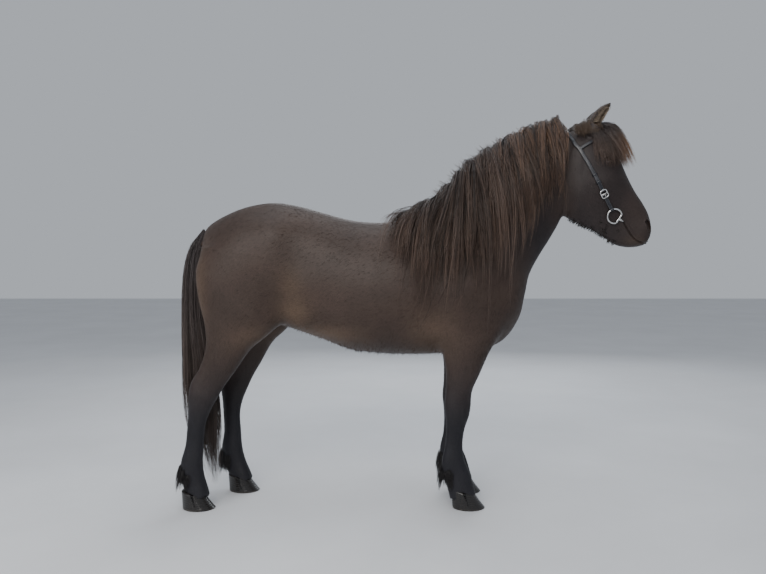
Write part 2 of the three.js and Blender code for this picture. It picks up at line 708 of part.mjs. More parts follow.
// Hooves: rings from the slanting coronet out to the ground, with a flat sole.
function hoofSolid({ heel, toe, coronet, half, side, sideways }) {
  const around = 16;
  const levels = [
    { share: 0, grow: 0.965 },
    { share: 0.04, grow: 1 },
    { share: 0.55, grow: 0.93 },
    { share: 1.25, grow: 0.84 },
  ];
  const length = toe - heel;
  const rings = levels.map(({ share, grow }) => {
    const ring = [];
    const lean = 34 * share;
    for (let j = 0; j < around; j++) {
      const turn = (j / around) * 2 * Math.PI;
      const front = Math.cos(turn);
      const x = (heel + toe) / 2 - lean * (front > 0 ? 1 : 0.45) + (front * length * grow) / 2;
      const flat = front < 0 ? 1 - 0.1 * front * front : 1;
      const y = side * sideways + Math.sin(turn) * half * grow * flat;
      const slope = (-coronetSlope[0] / coronetSlope[1]) * (x - (heel + toe) / 2);
      const z = share * (coronet + slope);
      ring.push(new THREE.Vector3(x, y, z).multiplyScalar(scale));
    }
    return ring;
  });
  const above = coronetSlab({ heel, toe, coronet: coronet - gap / scale }, side, sideways, false);
  return solidOf(ringGeometry(rings)).subtract(above);
}

for (const foot of feet) addNode(`hoof_${foot.name}`, hoofSolid(foot), "horn");

// Mane: locks rooted along the crest that rise a little, turn over it and hang down the right side,
// with short tufts standing up between their roots. Each row of maneFall is [x, length of the fall].
const maneFall = [
  [-60, 110],
  [-20, 300],
  [60, 450],
  [150, 600],
  [270, 730],
  [400, 700],
  [555, 620],
  [640, 460],
  [700, 370],
];
const random = seededRandom(7);
const vary = (value, share) => value * (1 + share * (random() * 2 - 1));

function crestPoint(x, y, height) {
  let s = trunk.lines[0];
  for (const line of trunk.lines) if (line.ux <= x * scale) s = line;
  return new THREE.Vector3(x * scale, y * scale, s.uz + height * scale);
}

// How far the mane drifts forward as it falls: backwards at the withers, straight down at the poll.
const maneDrift = (x) => -0.06 + 0.2 * smoothstep(0, 300, x) - 0.16 * smoothstep(450, 660, x);

function maneLocks() {
  const rows = [
    { count: 11, across: -8, lift: coatLift + 5, rise: 14, share: 1 },
    { count: 10, across: 4, lift: coatLift + 17, rise: 30, share: 0.86 },
  ];
  const locks = [];
  for (const row of rows)
    for (let i = 0; i < row.count; i++) {
      const x = mix(-22, 672, (i + 0.35 + 0.3 * random()) / row.count);
      const atWithers = mix(0.35, 1, smoothstep(-40, 160, x));
      const run = hangingRun({
        root: liftedTo(crestPoint(x, row.across, 6), 0),
        heading: new THREE.Vector3(vary(0.1, 1), -0.9, 0.7),
        length: vary(between(maneFall, x), 0.12) * row.share + 30,
        lift: vary(row.lift, 0.12),
        rise: vary(row.rise, 0.2) * atWithers,
        drift: maneDrift(x) + (random() - 0.5) * 0.08,
      });
      locks.push(lockSolid(run, vary(82, 0.12), vary(10, 0.15)));
    }
  return locks;
}

// The tufts lean back along the crest and end level with the top of the mane's locks.
function crestTufts() {
  const tufts = [];
  const count = 14;
  for (let i = 0; i < count; i++) {
    const x = mix(20, 655, (i + 0.5 * random()) / count);
    const size = vary(mix(0.45, 1, smoothstep(20, 200, x)), 0.12);
    const points = [0, 1, 2].map((k) => {
      const rise = new THREE.Vector3(-22 * k * k, 4 - 5 * k, 29 * k);
      return crestPoint(x, 0, -16).addScaledVector(rise, size * scale);
    });
    const normals = points.map(() => new THREE.Vector3(0, 1, 0));
    tufts.push(lockSolid({ points, normals }, 78 * size, 18 * size, bladeTaper));
  }
  return tufts;
}

// Forelock: locks from the poll between the ears that fan out over the forehead, stand off it and hang
// over the eyes. Lift and length are given ahead and at the sides of the fan.
function forelock() {
  const rows = [
    { count: 4, x: 868, lift: [16, 10], length: [235, 225] },
    { count: 4, x: 856, lift: [34, 20], length: [265, 242] },
    { count: 3, x: 842, lift: [54, 28], length: [292, 256] },
  ];
  const widestTurn = 1.6;
  const locks = [];
  for (const row of rows)
    for (let i = 0; i < row.count; i++) {
      const share = ((i + 0.5) / row.count) * 2 - 1;
      const angle = share * widestTurn;
      const ahead = Math.cos(angle * 0.9) ** 1.2;
      const top = new THREE.Vector3(row.x + 12 * share * share, share * 50, 1765).multiplyScalar(scale);
      const run = hangingRun({
        root: liftedTo(top, 0),
        heading: new THREE.Vector3(Math.cos(angle) + 0.2, Math.sin(angle) * 1.1, 0.2 + 0.3 * ahead),
        length: vary(mix(row.length[1], row.length[0], ahead), 0.06),
        lift: mix(row.lift[1], row.lift[0], ahead),
        rise: 6,
        drift: -0.04 + 0.6 * ahead,
        turn: 0.2,
        knots: 4,
      });
      locks.push(lockSolid(run, vary(68, 0.08), vary(9, 0.15)));
    }
  return locks;
}

// The hair of the poll, lying outwards and back over the roots of the ears.
function pollTufts() {
  const roots = [[775, 1], [818, 1], [775, -1], [818, -1], [800, 0]];
  return roots.map(([x, side]) => {
    const run = hangingRun({
      root: liftedTo(new THREE.Vector3(x, side * 14, 1775).multiplyScalar(scale), 0),
      heading: new THREE.Vector3(-0.25, side * 1.2, 0.8),
      length: vary(side === 0 ? 70 : 112, 0.1),
      lift: vary(20, 0.2),
      rise: 14,
      drift: -0.2,
      turn: 0.1,
      knots: 4,
    });
    return lockSolid(run, vary(56, 0.1), vary(12, 0.15));
  });
}

// Tail: a tapered dock with long locks that first bulge backwards and then hang between the hocks.
// Each row is a height with the middle of the hair and its reach fore and aft and to the sides.
const tailRows = [
  { z: 70, x: -958, reachX: 40, reachY: 34 },
  { z: 300, x: -1010, reachX: 86, reachY: 54 },
  { z: 500, x: -1022, reachX: 92, reachY: 56 },
  { z: 700, x: -1048, reachX: 66, reachY: 52 },
  { z: 850, x: -1066, reachX: 50, reachY: 48 },
  { z: 950, x: -1071, reachX: 44, reachY: 46 },
  { z: 1088, x: -1068, reachX: 40, reachY: 44 },
  { z: 1183, x: -1058, reachX: 30, reachY: 38 },
  { z: 1232, x: -1040, reachX: 24, reachY: 32 },
  { z: 1262, x: -1022, reachX: 20, reachY: 26 },
  { z: 1290, x: -1004, reachX: 12, reachY: 16 },
];
const tailAt = (z, key) => between(tailRows.map((row) => [row.z, row[key]]), z);

function dock() {
  const bones = [
    { x: -998, z: 1216, reach: 36, half: 29, tilt: 0 },
    { x: -1024, z: 1204, reach: 30, half: 27, tilt: 0.7 },
    { x: -1046, z: 1160, reach: 26, half: 24, tilt: 1.3 },
    { x: -1058, z: 1080, reach: 20, half: 18, tilt: 1.5 },
    { x: -1064, z: 1000, reach: 10, half: 9, tilt: 1.55 },
  ];
  const first = trunk.station(0);
  const rings = bones.map(({ x, z, reach, half, tilt }, i) => {
    const upX = i === 0 ? first.dx : -Math.sin(tilt);
    const upZ = i === 0 ? first.dz : Math.cos(tilt);
    const backX = i === 0 ? -gap / scale : 0;
    const ring = [];
    for (let j = 0; j < 8; j++) {
      const turn = (j / 8) * 2 * Math.PI;
      const up = Math.cos(turn) * reach;
      const p = new THREE.Vector3(x + backX + upX * up, Math.sin(turn) * half, z + upZ * up);
      ring.push(p.multiplyScalar(scale));
    }
    return ring;
  });
  return solidOf(ringGeometry(rings));
}

function tailLocks() {
  const shells = [
    { count: 11, spread: 1, width: 56, rootTop: 1280, rootLow: 1120, shingle: 0.28 },
    { count: 3, spread: 0.45, width: 54, rootTop: 1240, rootLow: 1040, shingle: 0.1 },
  ];
  const locks = [];
  for (const { count, spread, width, rootTop, rootLow, shingle } of shells)
    for (let i = 0; i < count; i++) {
      const angle = ((i + 0.3 * random()) / count) * 2 * Math.PI;
      const front = Math.cos(angle);
      const rootZ = mix(rootTop, rootLow, clamp((front + 1) / 2 + 0.2 * (random() - 0.5), 0, 1));
      const tipZ = vary(mix(280, 92, (front + 1) / 2), 0.22);
      const shares = [0, 0.1, 0.36, 0.7, 1];
      const sway = 8 * random();
      const points = shares.map((share) => {
        const z = mix(rootZ, tipZ, share);
        const opened = mix(0.3, 1, smoothstep(0, 0.2, share));
        const open = spread * opened * mix(1, 0.7, smoothstep(0.7, 1, share));
        const x = tailAt(z, "x") + front * tailAt(z, "reachX") * open + sway * share;
        return new THREE.Vector3(x, Math.sin(angle) * tailAt(z, "reachY") * open, z).multiplyScalar(scale);
      });
      const facing = angle + shingle;
      const normals = points.map(() => new THREE.Vector3(Math.cos(facing), Math.sin(facing), 0.05));
      locks.push(lockSolid({ points, normals }, vary(width, 0.1), vary(10, 0.15)));
    }
  return locks;
}

// Feather: the longer hair behind each fetlock.
function feather(backX, side, sideways, step) {
  const locks = [];
  const count = 4;
  for (let i = 0; i < count; i++) {
    const angle = mix(-1, 1, i / (count - 1));
    const out = new THREE.Vector3(-Math.cos(angle), Math.sin(angle), 0);
    const near = new THREE.Vector3(backX + step + 30, side * sideways, 0).addScaledVector(out, 34);
    near.z = vary(212, 0.04);
    const run = hangingRun({
      root: liftedTo(near.multiplyScalar(scale), 0),
      heading: new THREE.Vector3(out.x * 0.5, out.y * 0.3, -1),
      length: vary(92, 0.15) * (1 - 0.12 * Math.abs(angle)),
      lift: 5,
      turn: 0.08,
      cling: 0,
      knots: 4,
    });
    locks.push(lockSolid(run, vary(30, 0.15), vary(10, 0.15)));
  }
  return locks;
}

// Bridle straps lie on the skin along a run of places, each [x, side, z] on the right side.
const strapWidth = 18;
const browWidth = 14;
const strapThickness = 4;
const strapLift = 1.5;
const crownRun = [[700, 0, 1775], [704, 44, 1755], [716, 78, 1728], [738, 94, 1696], [758, 100, 1660]];
const cheekRun = [[758, 100, 1660], [790, 104, 1602], [822, 106, 1542], [850, 104, 1487], [868, 98, 1452]];
const lowerCheekRun = [[872, 98, 1444], [886, 92, 1418], [900, 86, 1394], [906, 82, 1384]];
const browRun = [
  [758, 100, 1660],
  [790, 104, 1683],
  [822, 100, 1698],
  [857, 84, 1716],
  [886, 46, 1736],
  [895, 0, 1742],
];

const placeOn = (side) => ([x, y, z]) => new THREE.Vector3(x, side * y, z).multiplyScalar(scale);
const overTop = (run) => [...run.slice().reverse().map(placeOn(RIGHT)), ...run.slice(1).map(placeOn(LEFT))];

// A strap along the places, level with the skin or a little over it; extra widens it on every side.
function strapSolid(places, samples, { wide = strapWidth, extra = 0 } = {}) {
  const run = new THREE.CatmullRomCurve3(places).getSpacedPoints(samples);
  const points = run.map((p) => liftedTo(p, strapLift * scale));
  const normals = points.map(skinNormal);
  const lowered = points.map((p, i) => p.clone().addScaledVector(normals[i], -extra));
  const width = (wide + 2 * extra) * scale;
  const thickness = (strapThickness + 2 * extra) * scale;
  return sweep(lowered, normals, bandSection, () => width, () => thickness);
}

const wholeCrown = overTop([...crownRun, ...cheekRun.slice(1)]);
const headpiece = strapSolid(wholeCrown, 28);
const roundHeadpiece = strapSolid(wholeCrown, 28, { extra: gap });
const wholeBrow = overTop(browRun.slice().reverse());
const browband = strapSolid(wholeBrow, 18, { wide: browWidth }).subtract(roundHeadpiece);
const roundBrowband = strapSolid(wholeBrow, 18, { wide: browWidth, extra: gap });

// A flat metal frame lying over a strap: a rounded rectangle with a window.
function frameSolid(place, side, toward, [long, wide, bar, thick], lift) {
  const corner = 6 * scale;
  const outline = (shape, l, w) => {
    const a = (l / 2) * scale;
    const b = (w / 2) * scale;
    shape.moveTo(-a + corner, -b);
    shape.lineTo(a - corner, -b);
    shape.quadraticCurveTo(a, -b, a, -b + corner);
    shape.lineTo(a, b - corner);
    shape.quadraticCurveTo(a, b, a - corner, b);
    shape.lineTo(-a + corner, b);
    shape.quadraticCurveTo(-a, b, -a, b - corner);
    shape.lineTo(-a, -b + corner);
    shape.quadraticCurveTo(-a, -b, -a + corner, -b);
    return shape;
  };
  const shape = outline(new THREE.Shape(), long, wide);
  shape.holes.push(outline(new THREE.Path(), long - 2 * bar, wide - 2 * bar));
  const settings = { depth: thick * scale, bevelEnabled: false, curveSegments: 2 };
  const frame = new THREE.ExtrudeGeometry(shape, settings);
  const at = liftedTo(placeOn(side)(place), 0);
  const normal = skinNormal(at);
  const along = placeOn(side)(toward).sub(at);
  along.addScaledVector(normal, -along.dot(normal)).normalize();
  const across = new THREE.Vector3().crossVectors(normal, along);
  at.addScaledVector(normal, lift * scale);
  const pose = new THREE.Matrix4().makeBasis(along, across, normal).setPosition(at);
  return solidOf(frame.applyMatrix4(pose));
}

const buckleSize = [40, 34, 6, 5];
const keeperSize = [24, 30, 5, 4];
const bitRadius = 34;
const bitTube = 4;
const barOffset = 25;
const bitPlace = [927, 76, 1343];
const lipCorner = [975, 1315];

// The bit on one side: a ring with a straight bar, and the end of the mouthpiece at the lip.
function bitPose(side) {
  const at = sidePoint(bitPlace[0], bitPlace[2], side, 9);
  const normal = skinNormal(at);
  const toLip = sidePoint(lipCorner[0], lipCorner[1], side).sub(at);
  toLip.addScaledVector(normal, -toLip.dot(normal)).normalize();
  const across = new THREE.Vector3().crossVectors(normal, toLip);
  return new THREE.Matrix4().makeBasis(toLip, across, normal).setPosition(at);
}

// The ring of the bit is cut off straight along its bar.
function bitRing(side, tube) {
  const ring = new THREE.TorusGeometry(bitRadius * scale, tube * scale, 6, 16);
  const beyond = new THREE.BoxGeometry(bitRadius * scale, 3 * bitRadius * scale, 3 * bitTube * scale);
  beyond.translate((barOffset + bitRadius / 2) * scale, 0, 0);
  const pose = bitPose(side);
  return solidOf(ring.applyMatrix4(pose)).subtract(solidOf(beyond.applyMatrix4(pose)));
}

function bitSolid(side) {
  const pose = bitPose(side);
  const barLength = 2 * Math.sqrt(bitRadius ** 2 - barOffset ** 2) + 2 * bitTube;
  const bar = new THREE.CylinderGeometry(bitTube * scale, bitTube * scale, barLength * scale, 8);
  bar.translate(barOffset * scale, 0, 0);
  const start = new THREE.Vector3(barOffset * scale, 0, 0).applyMatrix4(pose);
  const end = sidePoint(lipCorner[0], lipCorner[1], side, -4);
  const run = start.distanceTo(end);
  const direction = end.clone().sub(start).normalize();
  const stub = new THREE.CylinderGeometry(6 * scale, 7 * scale, run, 8).translate(0, run / 2, 0);
  stub.applyQuaternion(new THREE.Quaternion().setFromUnitVectors(new THREE.Vector3(0, 1, 0), direction));
  stub.translate(start.x, start.y, start.z);
  const mouthpiece = solidOf(stub).subtract(clearOfFlesh);
  return joined([bitRing(side, bitTube), solidOf(bar.applyMatrix4(pose)), mouthpiece]);
}

// The lower cheekpiece ends in a fold round the bit ring.
function cheekpiece(side) {
  const strap = strapSolid(lowerCheekRun.map(placeOn(side)), 6);
  const at = liftedTo(placeOn(side)([909, 80, 1378]), 8 * scale);
  const pose = bitPose(side).setPosition(at);
  const fold = new THREE.BoxGeometry(19 * scale, 16 * scale, 15 * scale).applyMatrix4(pose);
  return joined([strap, solidOf(fold)]).subtract(bitRing(side, bitTube + gap)).subtract(clearOfFlesh);
}

const roundEars = sides.map(([, side]) => earSolid(side, 4 * gap));
const keptFromTopHair = joined([roundHeadpiece, roundBrowband, ...roundEars]);
const topHair = joined([...forelock(), ...pollTufts()]).subtract(keptFromTopHair);

addNode("torso", pieceAt(-230, 0, 1060), "coat");
addNode("neck", joined([pieceAt(440, 0, 1400), ...maneLocks(), ...crestTufts()]), "coat");
addNode("head", joined([pieceAt(900, 0, 1490), topHair]), "coat");
addNode("tail", joined([dock(), ...tailLocks()]).subtract(clearOfFlesh), "coat");
for (const [name, side] of sides) {
  const step = side === LEFT ? hindStep : 0;
  addNode(`ear_${name}`, earSolid(side).subtract(clearOfFlesh), "coat");
  addNode(`eye_${name}`, eyes[side].eye, "eye");
  const forearm = pieceAt(220, side * 118, 360);
  addNode(`foreleg_${name}`, joined([forearm, ...feather(118, side, 115, 0)]), "coat");
  const gaskin = pieceAt(-920 + (side === LEFT ? stepAt(400) : 0), side * 130, 430);
  addNode(`hindleg_${name}`, joined([gaskin, ...feather(-1078, side, 126, step * 0.81)]), "coat");
}
addNode("bridle_headpiece", headpiece.subtract(clearOfFlesh), "leather");
addNode("bridle_browband", browband.subtract(clearOfFlesh), "leather");
const keeperLift = strapThickness + 2.2; // over the thickness of the strap it clasps
const buckleLift = strapThickness + 3.4;
for (const [name, side] of sides) {
  const keeper = frameSolid(crownRun[1], side, crownRun[2], keeperSize, keeperLift);
  const buckle = frameSolid([872, 97, 1443], side, [886, 92, 1418], buckleSize, buckleLift);
  addNode(`bridle_keeper_${name}`, keeper, "steel");
  addNode(`bridle_cheekpiece_${name}`, cheekpiece(side), "leather");
  addNode(`bridle_buckle_${name}`, buckle, "steel");
  addNode(`bit_${name}`, bitSolid(side), "steel");
}

export default group;
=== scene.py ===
"""An Icelandic horse, standing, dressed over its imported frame.

Metres, +X towards the nose, +Y to the horse's left, +Z up; tables of shapes are in millimetres. The skin is
the surface of one smooth field: lofted forms for trunk, head and legs that run into each other, with muscles,
lids, lips and ears on them. Coat and hair are solid tufts and strands rooted in it.
"""
import math

import bpy
import numpy as np
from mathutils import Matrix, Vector


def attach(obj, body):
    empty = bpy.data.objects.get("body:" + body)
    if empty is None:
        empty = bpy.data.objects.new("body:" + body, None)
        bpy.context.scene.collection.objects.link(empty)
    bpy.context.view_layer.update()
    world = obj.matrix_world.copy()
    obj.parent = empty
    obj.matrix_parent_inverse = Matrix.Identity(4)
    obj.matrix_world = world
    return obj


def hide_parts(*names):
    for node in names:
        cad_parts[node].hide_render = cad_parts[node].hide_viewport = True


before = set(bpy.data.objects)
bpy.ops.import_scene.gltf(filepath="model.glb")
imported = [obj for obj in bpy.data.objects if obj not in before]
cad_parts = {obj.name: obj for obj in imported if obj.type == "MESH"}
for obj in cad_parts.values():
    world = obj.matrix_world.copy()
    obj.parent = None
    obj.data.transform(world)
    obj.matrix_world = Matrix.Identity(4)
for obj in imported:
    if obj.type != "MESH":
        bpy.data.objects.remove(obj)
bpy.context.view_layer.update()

MM = 0.001
RIGHT, LEFT = -1, 1
SIDES = (("right", RIGHT), ("left", LEFT))
HIND_STEP = 150 * MM
HIP_HEIGHT = 1050 * MM
HIP_ROUNDING = 0.08  # how softly the step sets in at the hip
COAT_DEPTH = 3 * MM
rng = np.random.default_rng(11)

# Camera: the photo's view, level with the back, 3.4 m from the horse's middle plane, shifted so that
# the point straight ahead of it lands where it does in the photo.
IMAGE_SIZE = (766, 574)
FOCAL_PIXELS = 714
CAMERA_PLACE = (0, -3.4, 1.183)
STRAIGHT_AHEAD = (415.5, 250)

CHANNELS = ("ux", "uz", "lx", "lz", "half", "mid", "crest", "keel", "side")


def station(up, low, half, mid=0.5, crest=2.1, keel=2.1, side=0):
    """A cross-section between a point of the upper rail and one of the lower rail, in millimetres."""
    lengths = (up[0], up[1], low[0], low[1], half)
    values = [v * MM for v in lengths] + [mid, crest, keel, side * MM]
    return dict(zip(CHANNELS, values))


TRUNK = [
    station((-996, 1262), (-1000, 1168), 34),
    station((-972, 1303), (-984, 1070), 112),
    station((-893, 1351), (-915, 960), 186, mid=0.52),
    station((-790, 1391), (-815, 885), 228, mid=0.52),
    station((-670, 1409), (-690, 842), 242),
    station((-550, 1393), (-575, 808), 240, mid=0.48),
    station((-420, 1357), (-440, 762), 247, mid=0.45),
    station((-285, 1324), (-300, 712), 262, mid=0.43),
    station((-150, 1317), (-150, 695), 270, mid=0.42),
    station((-30, 1331), (0, 690), 262, mid=0.42, crest=1.85),
    station((55, 1370), (120, 694), 238, mid=0.42, crest=1.6),
    station((110, 1394), (285, 704), 212, mid=0.42, crest=1.5),
    station((165, 1438), (410, 750), 192, mid=0.42, crest=1.5),
    station((222, 1495), (489, 852), 168, mid=0.42, crest=1.55),
    station((284, 1549), (519, 960), 142, mid=0.42, crest=1.6),
    station((355, 1600), (541, 1062), 118, mid=0.42, crest=1.65),
    station((436, 1647), (583, 1146), 100, mid=0.43, crest=1.7),
    station((520, 1691), (630, 1221), 88, mid=0.45, crest=1.75),
    station((611, 1724), (668, 1286), 80, mid=0.48, crest=1.8),
    station((700, 1744), (700, 1345), 76, crest=1.9),
    station((772, 1752), (752, 1405), 70),
]

HEAD = [
    station((772, 1768), (690, 1462), 66),
    station((838, 1776), (690, 1398), 84, mid=0.55),
    station((905, 1718), (708, 1344), 96, mid=0.62, crest=2.3),
    station((961, 1625), (762, 1313), 99, mid=0.66, crest=2.5),
    station((1003, 1535), (822, 1284), 82, mid=0.62, crest=2.5),
    station((1041, 1466), (872, 1257), 66, mid=0.58, crest=2.4),
    station((1080, 1408), (912, 1229), 56, mid=0.55, crest=2.3),
    station((1106, 1358), (950, 1206), 55, mid=0.52, crest=2.3, keel=2.2),
    station((1118, 1306), (996, 1198), 54, crest=2.3, keel=2.2),
    station((1116, 1258), (1044, 1197), 45, crest=2.3, keel=2.2),
    station((1104, 1230), (1076, 1204), 26),
]

FORE_LEG = [
    station((390, 905), (150, 930), 62, side=112),
    station((384, 800), (118, 800), 74, side=118),
    station((336, 705), (124, 716), 68, side=120),
    station((291, 610), (136, 628), 56, side=120),
    station((263, 540), (136, 545), 47, side=119),
    station((252, 470), (130, 470), 46, side=118),
    station((243, 412), (136, 408), 42, side=118),
    station((226, 352), (138, 348), 32, side=117),
    station((219, 285), (133, 280), 30, side=116),
    station((228, 220), (118, 212), 37, side=115),
    station((250, 165), (124, 145), 36, side=114),
    station((266, 112), (144, 88), 41, side=114),
    station((280, 66), (156, 40), 47, side=114),
]

HIND_LEG = [
    station((-632, 1140), (-975, 1190), 84, side=122),
    station((-596, 985), (-1003, 1085), 104, side=130),
    station((-612, 862), (-990, 960), 100, side=134),
    station((-676, 792), (-964, 840), 84, side=135),
    station((-752, 728), (-961, 738), 67, side=134),
    station((-820, 632), (-990, 645), 52, side=132),
    station((-868, 566), (-1028, 580), 44, side=131),
    station((-903, 508), (-1040, 525), 44, side=130),
    station((-940, 440), (-1042, 446), 38, side=129),
    station((-961, 375), (-1047, 378), 31, side=128),
    station((-968, 290), (-1056, 290), 30, side=127),
    station((-973, 212), (-1078, 205), 37, side=126),
    station((-966, 150), (-1074, 128), 37, side=125),
    station((-952, 100), (-1056, 74), 42, side=124),
    station((-942, 62), (-1050, 38), 46, side=124),
]

# Muscle and bone forms on both sides: place [x, side, z], reach in each direction, height, all in mm.
RELIEFS = [
    ((-640, 205, 1270), (80, 60, 70), 12),  # point of the hip
    ((-520, 215, 1130), (90, 80, 120), -14),  # hollow of the flank
    ((-560, 190, 930), (70, 70, 90), -10),  # behind the flank fold
    ((-870, 190, 1080), (110, 90, 150), 12),  # thigh muscle
    ((-760, 175, 880), (90, 70, 90), 8),  # stifle
    ((250, 190, 1010), (110, 70, 190), 14),  # shoulder blade
    ((170, 205, 840), (80, 60, 90), 16),  # triceps over the elbow
    ((420, 120, 940), (80, 60, 80), 14),  # point of the shoulder
    ((80, 225, 1060), (60, 70, 150), -9),  # behind the shoulder blade
    ((525, 0, 930), (60, 34, 110), -12),  # groove between the breast muscles
    ((500, 95, 1180), (120, 40, 70), -6),  # groove along the neck
    ((286, 150, 625), (40, 40, 90), 5),  # front of the forearm
    ((246, 118, 455), (26, 44, 48), 5),  # knee
    ((742, 96, 1440), (72, 44, 84), 15),  # round of the jaw
    ((900, 94, 1642), (48, 30, 26), 9),  # ridge over the eye
    ((868, 92, 1672), (26, 30, 26), -10),  # hollow above the eye
    ((905, 80, 1500), (90, 30, 26), 7),  # cheek ridge
    ((975, 74, 1420), (60, 34, 40), -7),  # hollow of the nose
    ((1090, 48, 1300), (26, 24, 34), 8),  # wing of the nostril
    ((1010, 30, 1206), (40, 50, 24), 7),  # lower lip and chin
]


def smoothstep(low, high, value):
    t = np.clip((value - low) / (high - low), 0, 1)
    return t * t * (3 - 2 * t)


def between(p, low, high):
    """Which rows of points lie in the box between two corners."""
    return np.all((p > low) & (p < high), axis=1)


def smooth_union(a, b, reach):
    h = np.maximum(reach - np.abs(a - b), 0) / reach
    return np.minimum(a, b) - h * h * reach / 4


def smooth_cut(a, b, reach):
    """a with b taken out of it, the edge rounded."""
    return -smooth_union(-a, b, reach)


def bell(value, middle, reach):
    """1 at the middle, falling off smoothly to both sides."""
    return np.exp(-(((value - middle) / reach) ** 2))


def bells(axes, place, size):
    """How much of a relief is felt along each axis."""
    return [bell(a, c * MM, s * MM) for a, c, s in zip(axes, place, size)]


def dot(a, v):
    return a[0] * v[0] + a[1] * v[1] + a[2] * v[2]


def length_of(v):
    return np.sqrt(v[0] ** 2 + v[1] ** 2 + v[2] ** 2)


def unit(v):
    return np.asarray(v, float) / np.linalg.norm(v)


def unit_rows(v):
    return v / np.maximum(np.linalg.norm(v, axis=-1, keepdims=True), 1e-12)


def row_dot(a, b):
    return np.sum(a * b, axis=-1, keepdims=True)


def gradient(distance, p, h=1.5 * MM):
    """Unit gradient at points p of a distance that is read at rows of points."""
    out = np.empty_like(p)
    for axis, step in enumerate(np.eye(3) * h):
        out[..., axis] = distance(p + step) - distance(p - step)
    return unit_rows(out)


def smooth_curve(knots, t):
    """A Catmull-Rom curve through knots, at places t counted in knots."""
    last = len(knots) - 1
    i = np.minimum(t.astype(int), last - 1)
    k0, k1, k2, k3 = (knots[np.clip(i + n, 0, last)] for n in (-1, 0, 1, 2))
    f = (t - i).reshape(-1, *(1,) * (knots.ndim - 1))
    slope_in, slope_out = (k2 - k0) / 2, (k3 - k1) / 2
    return (
        (2 * f**3 - 3 * f**2 + 1) * k1
        + (f**3 - 2 * f**2 + f) * slope_in
        + (3 * f**2 - 2 * f**3) * k2
        + (f**3 - f**2) * slope_out
    )


class Form:
    """A body form lofted smoothly through its stations."""

    PER_STATION = 6  # section lines from one station to the next
    MARGIN = 90 * MM  # how far past the form its field is worked out
    BATCH = 40000  # points worked out at a time
    LEAST_SHARE = 0.02  # keeps the middle line itself from dividing by zero

    def __init__(self, stations, side, blend, step=0.0):
        self.blend = blend * MM
        count = len(stations)
        knots = {c: np.array([s[c] for s in stations]) for c in CHANNELS}
        knots["side"] = knots["side"] * side
        for rail in "ul":
            share = 1 - knots[rail + "z"] / HIP_HEIGHT
            ahead = (share + np.sqrt(share**2 + HIP_ROUNDING**2)) / 2
            knots[rail + "x"] = knots[rail + "x"] + step * ahead
        t = np.linspace(0, count - 1, (count - 1) * self.PER_STATION + 1)
        lines = self.lines = {c: smooth_curve(knots[c], t) for c in CHANNELS}
        rail_x, rail_z = lines["ux"] - lines["lx"], lines["uz"] - lines["lz"]
        lines["depth"] = np.hypot(rail_x, rail_z)
        self.dx, self.dz = rail_x / lines["depth"], rail_z / lines["depth"]
        self.count = count
        second = [self.ahead(lines[r + "x"][1], lines[r + "z"][1])[0, 0] for r in "ul"]
        self.turn = 1.0 if sum(second) > 0 else -1.0
        x = np.concatenate([lines["ux"], lines["lx"]])
        z = np.concatenate([lines["uz"], lines["lz"]])
        y = np.concatenate([lines["side"] - lines["half"], lines["side"] + lines["half"]])
        self.low = np.array([x.min(), y.min(), z.min()]) - self.MARGIN
        self.high = np.array([x.max(), y.max(), z.max()]) + self.MARGIN

    def ahead(self, x, z):
        """How far each (x, z) lies ahead of each section line: a row for a line, a column for a point."""
        lx, lz = self.lines["lx"][:, None], self.lines["lz"][:, None]
        return self.dz[:, None] * (x - lx) - self.dx[:, None] * (z - lz)

    def near(self, p):
        """Which rows of points are near enough to feel the form."""
        return between(p, self.low, self.high)

    def section(self, x, z):
        """The cross-section that goes through each (x, z): a dict of arrays."""
        if len(x) > self.BATCH:
            starts = range(0, len(x), self.BATCH)
            parts = [self.section(x[i : i + self.BATCH], z[i : i + self.BATCH]) for i in starts]
            return {key: np.concatenate([part[key] for part in parts]) for key in parts[0]}
        lines = self.lines
        ahead = self.ahead(x, z) * self.turn
        line, point = np.nonzero((ahead[:-1] >= 0) & (ahead[1:] < 0))
        here, there = ahead[line, point], ahead[line + 1, point]
        share = here / (here - there)
        found = {c: lines[c][line] * (1 - share) + lines[c][line + 1] * share for c in CHANNELS}
        rail_x, rail_z = found["ux"] - found["lx"], found["uz"] - found["lz"]
        found["depth"] = np.hypot(rail_x, rail_z)
        up = ((x[point] - found["lx"]) * rail_x + (z[point] - found["lz"]) * rail_z) / found["depth"] ** 2
        found["up"] = up
        found["t"] = (line + share) / self.PER_STATION
        order = np.argsort(-np.abs(up - 0.5), kind="stable")
        chosen = np.full(len(x), -1)
        chosen[point[order]] = order
        inside = chosen >= 0
        before_start = ahead[0] < 0
        end = np.where(before_start, 0, len(self.dx) - 1)
        out = {c: lines[c][end] for c in (*CHANNELS, "depth")}
        out["up"] = ((x - out["lx"]) * self.dx[end] + (z - out["lz"]) * self.dz[end]) / out["depth"]
        out["t"] = end / self.PER_STATION
        for key, values in out.items():
            values[inside] = found[key][chosen[inside]]
        past = np.where(before_start, -ahead[0], np.abs(ahead[-1]))
        out["past"] = np.where(inside, 0, past)
        return out

    @staticmethod
    def distance(s, y):
        """Distance to the form's surface, negative inside, from its sections and y."""
        along = (s["up"] - s["mid"]) * s["depth"]
        upper = along > 0
        reach = np.where(upper, 1 - s["mid"], s["mid"]) * s["depth"]
        power = np.where(upper, s["crest"], s["keel"])
        across = y - s["side"]
        out = np.hypot(along, across)
        share = (np.abs(along / reach) ** power + np.abs(across / s["half"]) ** power) ** (1 / power)
        section = out - out / np.maximum(share, Form.LEAST_SHARE)
        past = s["past"]
        beyond = np.where(section > 0, np.hypot(section, past), np.maximum(section, past))
        return np.where(past > 0, beyond, section)


